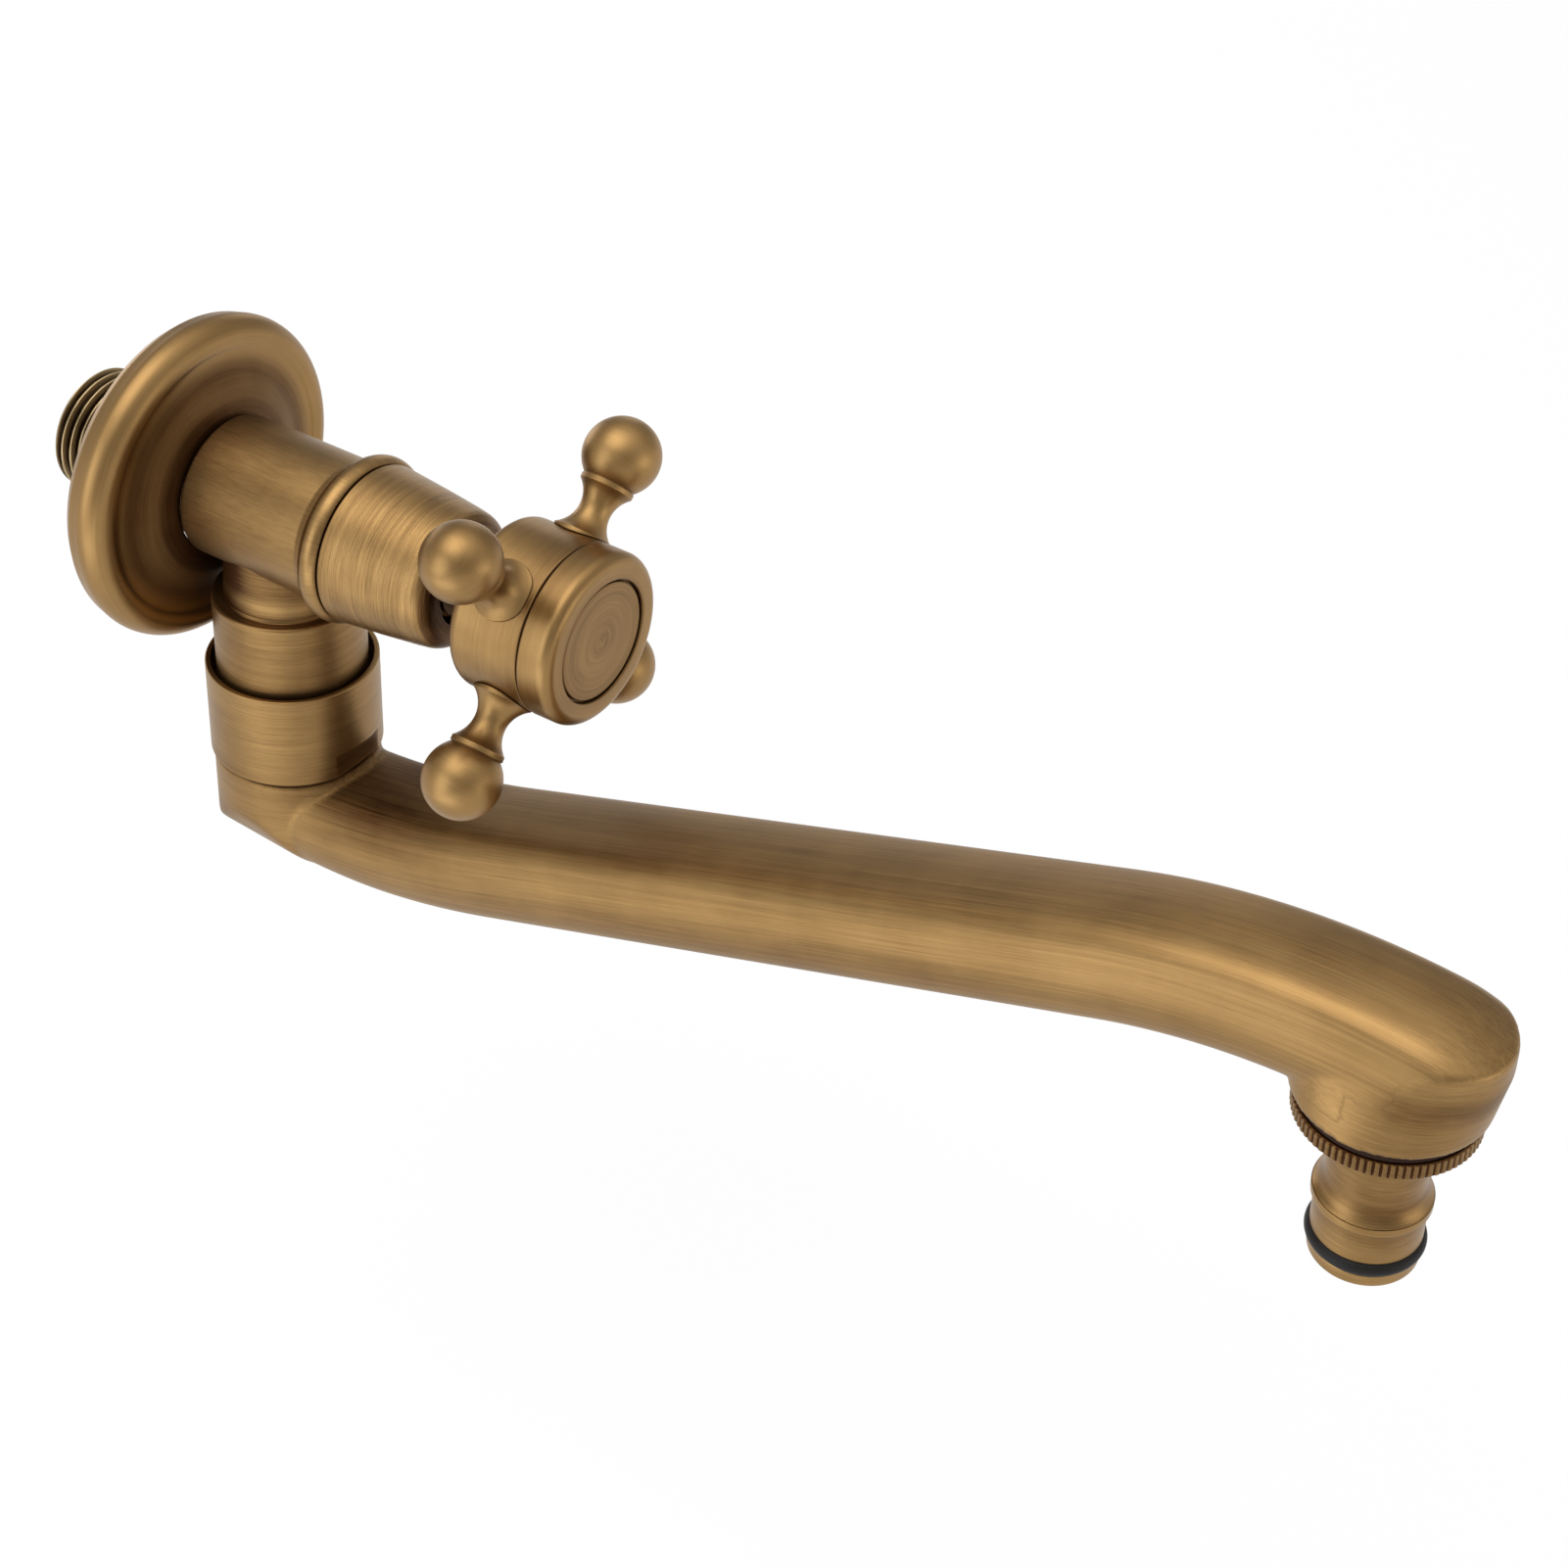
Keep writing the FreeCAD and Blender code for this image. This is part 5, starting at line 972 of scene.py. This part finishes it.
# %% Painted shade on the spout
def spout_shade(spots, run, above):
    """Painted shade, as a sum of soft patches, each a share times ramps or humps in mm."""
    level = spots[:, 2]
    past_nozzle = run > REACH - 16
    crown = 0.14 * ramp(above, 5.2, 7.6) * (1 - ramp(run, 120, 190))
    root = 0.62 * bump(run, 23.0, 13.0) * ramp(above, 0.0, 6.0)
    side = 0.20 * bump(run, 100.0, 60.0) * (1 - ramp(above, 4.0, 7.0))
    shadow_under_nose = 0.42 * bump(level, -10.5, 2.4) * ramp(run, REACH - 2, REACH + 6)
    flank = 0.10 * ramp(run, REACH - 2, REACH + 8) * (1 - ramp(level, -9.0, -6.0))
    lower_edge_shade = 0.5 * (1 - ramp(level, NOZZLE_BOTTOM, NOZZLE_BOTTOM + 0.5)) * past_nozzle
    shade_under_nut = 0.3 * ramp(level, -47.4, -46.5) * (run < 14)
    heel_shade = 0.4 * ramp(run, 4, -12) * ramp(-level, 50, 58)
    return np.clip(crown + root + side + shadow_under_nose + flank + lower_edge_shade + shade_under_nut + heel_shade, 0, 1)


places = vertex_places(spout.data)
run_of = SWIVEL[1] - places[:, 1]
middle, slope_of = middle_line(np.clip(run_of, 0, 212))
above_middle = (places[:, 2] - middle) * np.cos(slope_of)
store(spout.data, spout_lay(places, run_of, above_middle), spout_shade(places, run_of, above_middle))
spout_brass = brass("spout_brass", lines=0.8, mottle=0.9, rough=0.41)
dress(spout, spout_brass, "spout", "spout")

# %% [markdown]
# ## Hose connector
# Under the nozzle sit a dark washer and a knurled ring, then a neck that flares out to a rib,
# and the plug with its O-ring. The knurls are a radius that changes with the angle.

# %% Connector
OUTLET = (0, SWIVEL[1] - REACH, 0)
KNURLS = 79
KNURL_TOP, KNURL_BOTTOM, KNURL_RADIUS, KNURL_DEPTH = -19.8, -22.4, 13.5, 0.32
NECK_RADIUS, FLARE = 7.35, 4.6


def knurl_bend(radius, height, angle):
    """Grooves round the rim: the upper part of a wave, cut off just below its middle."""
    wave = np.clip(np.cos(angle * KNURLS), -0.1, 1)
    on_rim = (radius > 12.8) & (height < KNURL_TOP - 0.12) & (height > KNURL_BOTTOM + 0.12)
    return np.where(on_rim, radius - KNURL_DEPTH * (wave + 0.1), radius)


def connector_colour_and_shade(radius, height, angle):
    """The ring's own brown, painted shade in the knurls' grooves, under the ring and under the rib, and
    a painted dark reflection inside the flare.
    """
    ring = radius > 12.6
    ring_colour_and_groove_shade = 0.40 * ring + 0.9 * (ring & (radius < 13.38))
    shade_under_ring = 0.22 * ramp(height, -26.0, -23.4) * (radius < 9)
    # painted shade under the ring and the rib, and the flare's painted dark reflection
    return ring_colour_and_groove_shade + shade_under_ring + 0.40 * bump(height, -34.6, 1.5) + 0.4 * bump(height, -39.2, 0.7)


connector_outline = rounded(
    [(5.4, -15, 0), (5.4, -48.6, 0.4), (8.1, -48.6, 0.8), (8.1, -46.35, 0.15), (6.3, -46.35, 0),
     (6.3, -43.95, 0), (8.1, -43.95, 0.15), (8.1, -38.75, 0.4), (8.7, -38.1, 0.3), (8.7, -36.8, 0.4)]
    + arc((NECK_RADIUS + FLARE, -33.55), FLARE, 225, 180, 14)
    + [(NECK_RADIUS, -23.4, 0.3), (8.4, -23.4, 0.2), (8.4, KNURL_BOTTOM, 0.1),
       (13.15, KNURL_BOTTOM, 0.2), (KNURL_RADIUS, KNURL_BOTTOM + 0.25, 0.1),
       (KNURL_RADIUS, KNURL_TOP - 0.25, 0.1), (13.15, KNURL_TOP, 0.2), (9.5, KNURL_TOP, 0),
       (9.5, -12.8, 0), (5.4, -12.8, 0), (5.4, -15, 0)])
connector = turn("plug_connector", connector_outline, UPRIGHT, OUTLET, columns=KNURLS * 8,
                 bend=knurl_bend, tone=connector_colour_and_shade)
connector_brass = brass("connector_brass", lines=0.9, rough=0.34)
dress(connector, connector_brass, "spout", "hose_connector")

# %% Washer and O-ring
washer_outline = rounded(
    [(9.6, -19.1, 0), (9.6, -19.76, 0.2), (13.0, -19.76, 0.2), (13.0, -18.44, 0.2), (9.6, -18.44, 0.2),
     (9.6, -19.1, 0)])
washer = turn("nozzle_washer", washer_outline, UPRIGHT, OUTLET, columns=160)
dress(washer, dark_washer, "spout", "outlet_washer")
ring_outline = np.array(arc((7.55, -45.15), 1.2, 0, 360, 32)[:-1])
o_ring = turn("plug_o_ring", ring_outline, UPRIGHT, OUTLET, columns=160, ring=True)
dress(o_ring, rubber, "spout", "connector_o_ring")

# %% [markdown]
# ## Hidden pieces
# Seals, discs, clip and screw lie inside. Their solids are right as they are, so each keeps
# its own mesh and only gets the finish of its kind.

# %% Finishes for the solids that stay
finish_of = {
    "tail_o_ring": rubber, "housing_o_ring": rubber, "seat_seal": rubber, "spindle_o_ring": rubber,
    "upper_spout_o_ring": rubber, "lower_spout_o_ring": rubber, "fixed_disc": ceramic,
    "moving_disc": ceramic, "spindle_clip": gap_shaded_brass, "handle_screw": steel,
    "slip_ring": slip_plastic}
for label, finish in finish_of.items():
    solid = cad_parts[label]
    solid.data.materials.clear()
    solid.data.materials.append(finish)
print("solids that keep their shape:", len(finish_of))

# %% [markdown]
# ## Floor, light and camera
# The photograph is a product shot on white. A pale floor lies well below the tap. A plain white
# backdrop would also work, but metal looks like what it mirrors, so the world is bright to the
# left and overhead, greyer to the right and the back, and darker behind the photographer. The
# floor shows white to the camera and in the metal. Six soft boxes add the highlights: overhead,
# left, right, rear, front, and a strip low on the left.

# %% Floor
FLOOR_LEVEL, FLOOR_REACH = -0.17, 6
corners = [(x * FLOOR_REACH, y * FLOOR_REACH, FLOOR_LEVEL)
           for x, y in ((-1, -1), (1, -1), (1, 1), (-1, 1))]
floor_mesh = bpy.data.meshes.new("floor")
floor_mesh.from_pydata(corners, [], [(0, 1, 2, 3)])
floor = add_object("floor", floor_mesh)
floor_paint = bpy.data.materials.new("pale_floor")
floor_paint.use_nodes = True
tree = floor_paint.node_tree
tree.nodes.clear()
path = put(tree, "LightPath").outputs
seen = calc(tree, path["Is Camera Ray"], path["Is Glossy Ray"], "MAXIMUM")
seen = calc(tree, seen, path["Is Transmission Ray"], "MAXIMUM")
matt = put(tree, "BsdfDiffuse", {"Color": (0.92, 0.92, 0.92, 1)}).outputs[0]
glow = put(tree, "Emission", {"Color": (1, 1, 1, 1), "Strength": 1.0}).outputs[0]
mixed = put(tree, "MixShader", {0: calc(tree, seen, 0.85), 1: matt, 2: glow}).outputs[0]
tree.links.new(mixed, put(tree, "OutputMaterial").inputs[0])
floor_mesh.materials.append(floor_paint)

# %% World
world = bpy.data.worlds.new("studio")
bpy.context.scene.world = world
world.use_nodes = True
tree = world.node_tree
tree.nodes.clear()
way = put(tree, "TexCoord").outputs["Generated"]
upward_part = put(tree, "SeparateXYZ", {0: way}).outputs[2]
overhead = spread(tree, upward_part, 0.60, 0.90, 0.0, 0.65)
to_dark_side = vector_calc(tree, way, (0.78, 0.55, 0.30), "DOT_PRODUCT")
walls = spread(tree, to_dark_side, -0.5, 0.80, 0.95, 0.38)
to_photographer = vector_calc(tree, way, (-0.62, -0.60, 0.50), "DOT_PRODUCT")
walls = calc(tree, walls, spread(tree, to_photographer, 0.55, 0.95, 1.0, 0.45))
strength = calc(tree, walls, overhead, "ADD")
background = put(tree, "Background", {"Color": (1, 1, 1, 1), "Strength": strength})
tree.links.new(background.outputs[0], put(tree, "OutputWorld").inputs[0])
print("world:", len(tree.nodes), "nodes")


# %% Soft boxes
def stand(thing, side, up, back, place):
    """Places an object with its own X, Y and Z along side, up and back."""
    axes = np.column_stack([side, up, back, place])
    thing.matrix_world = Matrix(np.vstack([axes, [0, 0, 0, 1]]).tolist())


def soft_box(name, place, target, width, height, brightness, colour=(1.0, 1.0, 1.0)):
    """Area lamp that faces a point; power = brightness * pi * area."""
    lamp = bpy.data.lights.new(name, "AREA")
    lamp.shape = "RECTANGLE"
    lamp.size, lamp.size_y = width, height
    lamp.energy = brightness * math.pi * width * height
    lamp.color = colour
    away = np.array(place, float) - target
    away /= np.linalg.norm(away)
    side = np.cross([0, 0, 1] if abs(away[2]) < 0.95 else [0, 1, 0], away)
    side /= np.linalg.norm(side)
    stand(add_object(name, lamp), side, np.cross(away, side), away, place)
    print(f"{name}: {lamp.energy:.2f} W")


MIDDLE = (0, -0.11, -0.02)
DAYLIGHT = (0.93, 1.0, 1.06)
soft_box("overhead_box", (-0.25, 0.05, 0.95), MIDDLE, 0.8, 0.8, 1.9)
soft_box("left_box", (-0.78, 0.20, 0.17), MIDDLE, 0.48, 0.66, 1.6, DAYLIGHT)
soft_box("right_box", (0.80, 0.32, 0.20), MIDDLE, 0.30, 0.30, 0.9)
soft_box("rear_box", (0.32, 0.95, 0.02), MIDDLE, 0.50, 0.50, 1.6)
soft_box("front_box", (0.15, -1.0, 0.0), MIDDLE, 0.55, 0.32, 1.42)
soft_box("low_strip", (-0.24, -0.045, -0.14), (0, -0.045, -0.03), 0.25, 0.12, 1.75, DAYLIGHT)

# %% Camera
AZIMUTH, ELEVATION, ROLL = math.radians(-60.34), math.radians(32.6), math.radians(3.9)
FOCAL_PIXELS, IMAGE_PIXELS, SENSOR = 3214.5, 1601, 36.0
lens = bpy.data.cameras.new("camera")
lens.sensor_width = SENSOR
lens.lens = FOCAL_PIXELS / IMAGE_PIXELS * SENSOR
lens.shift_x, lens.shift_y = -0.0976, -0.1808
lens.clip_start = 0.01
back = np.array([math.sin(AZIMUTH) * math.cos(ELEVATION), -math.cos(AZIMUTH) * math.cos(ELEVATION),
                 math.sin(ELEVATION)])
level_side = np.array([math.cos(AZIMUTH), math.sin(AZIMUTH), 0.0])
level_up = np.cross(back, level_side)
camera = add_object("camera", lens)
stand(camera, math.cos(ROLL) * level_side + math.sin(ROLL) * level_up,
      math.cos(ROLL) * level_up - math.sin(ROLL) * level_side, back, (-0.3133, -0.3200, 0.2779))
bpy.context.scene.camera = camera
bpy.context.scene.view_settings.view_transform = "Standard"
print(f"camera: {lens.lens:.1f} mm lens")
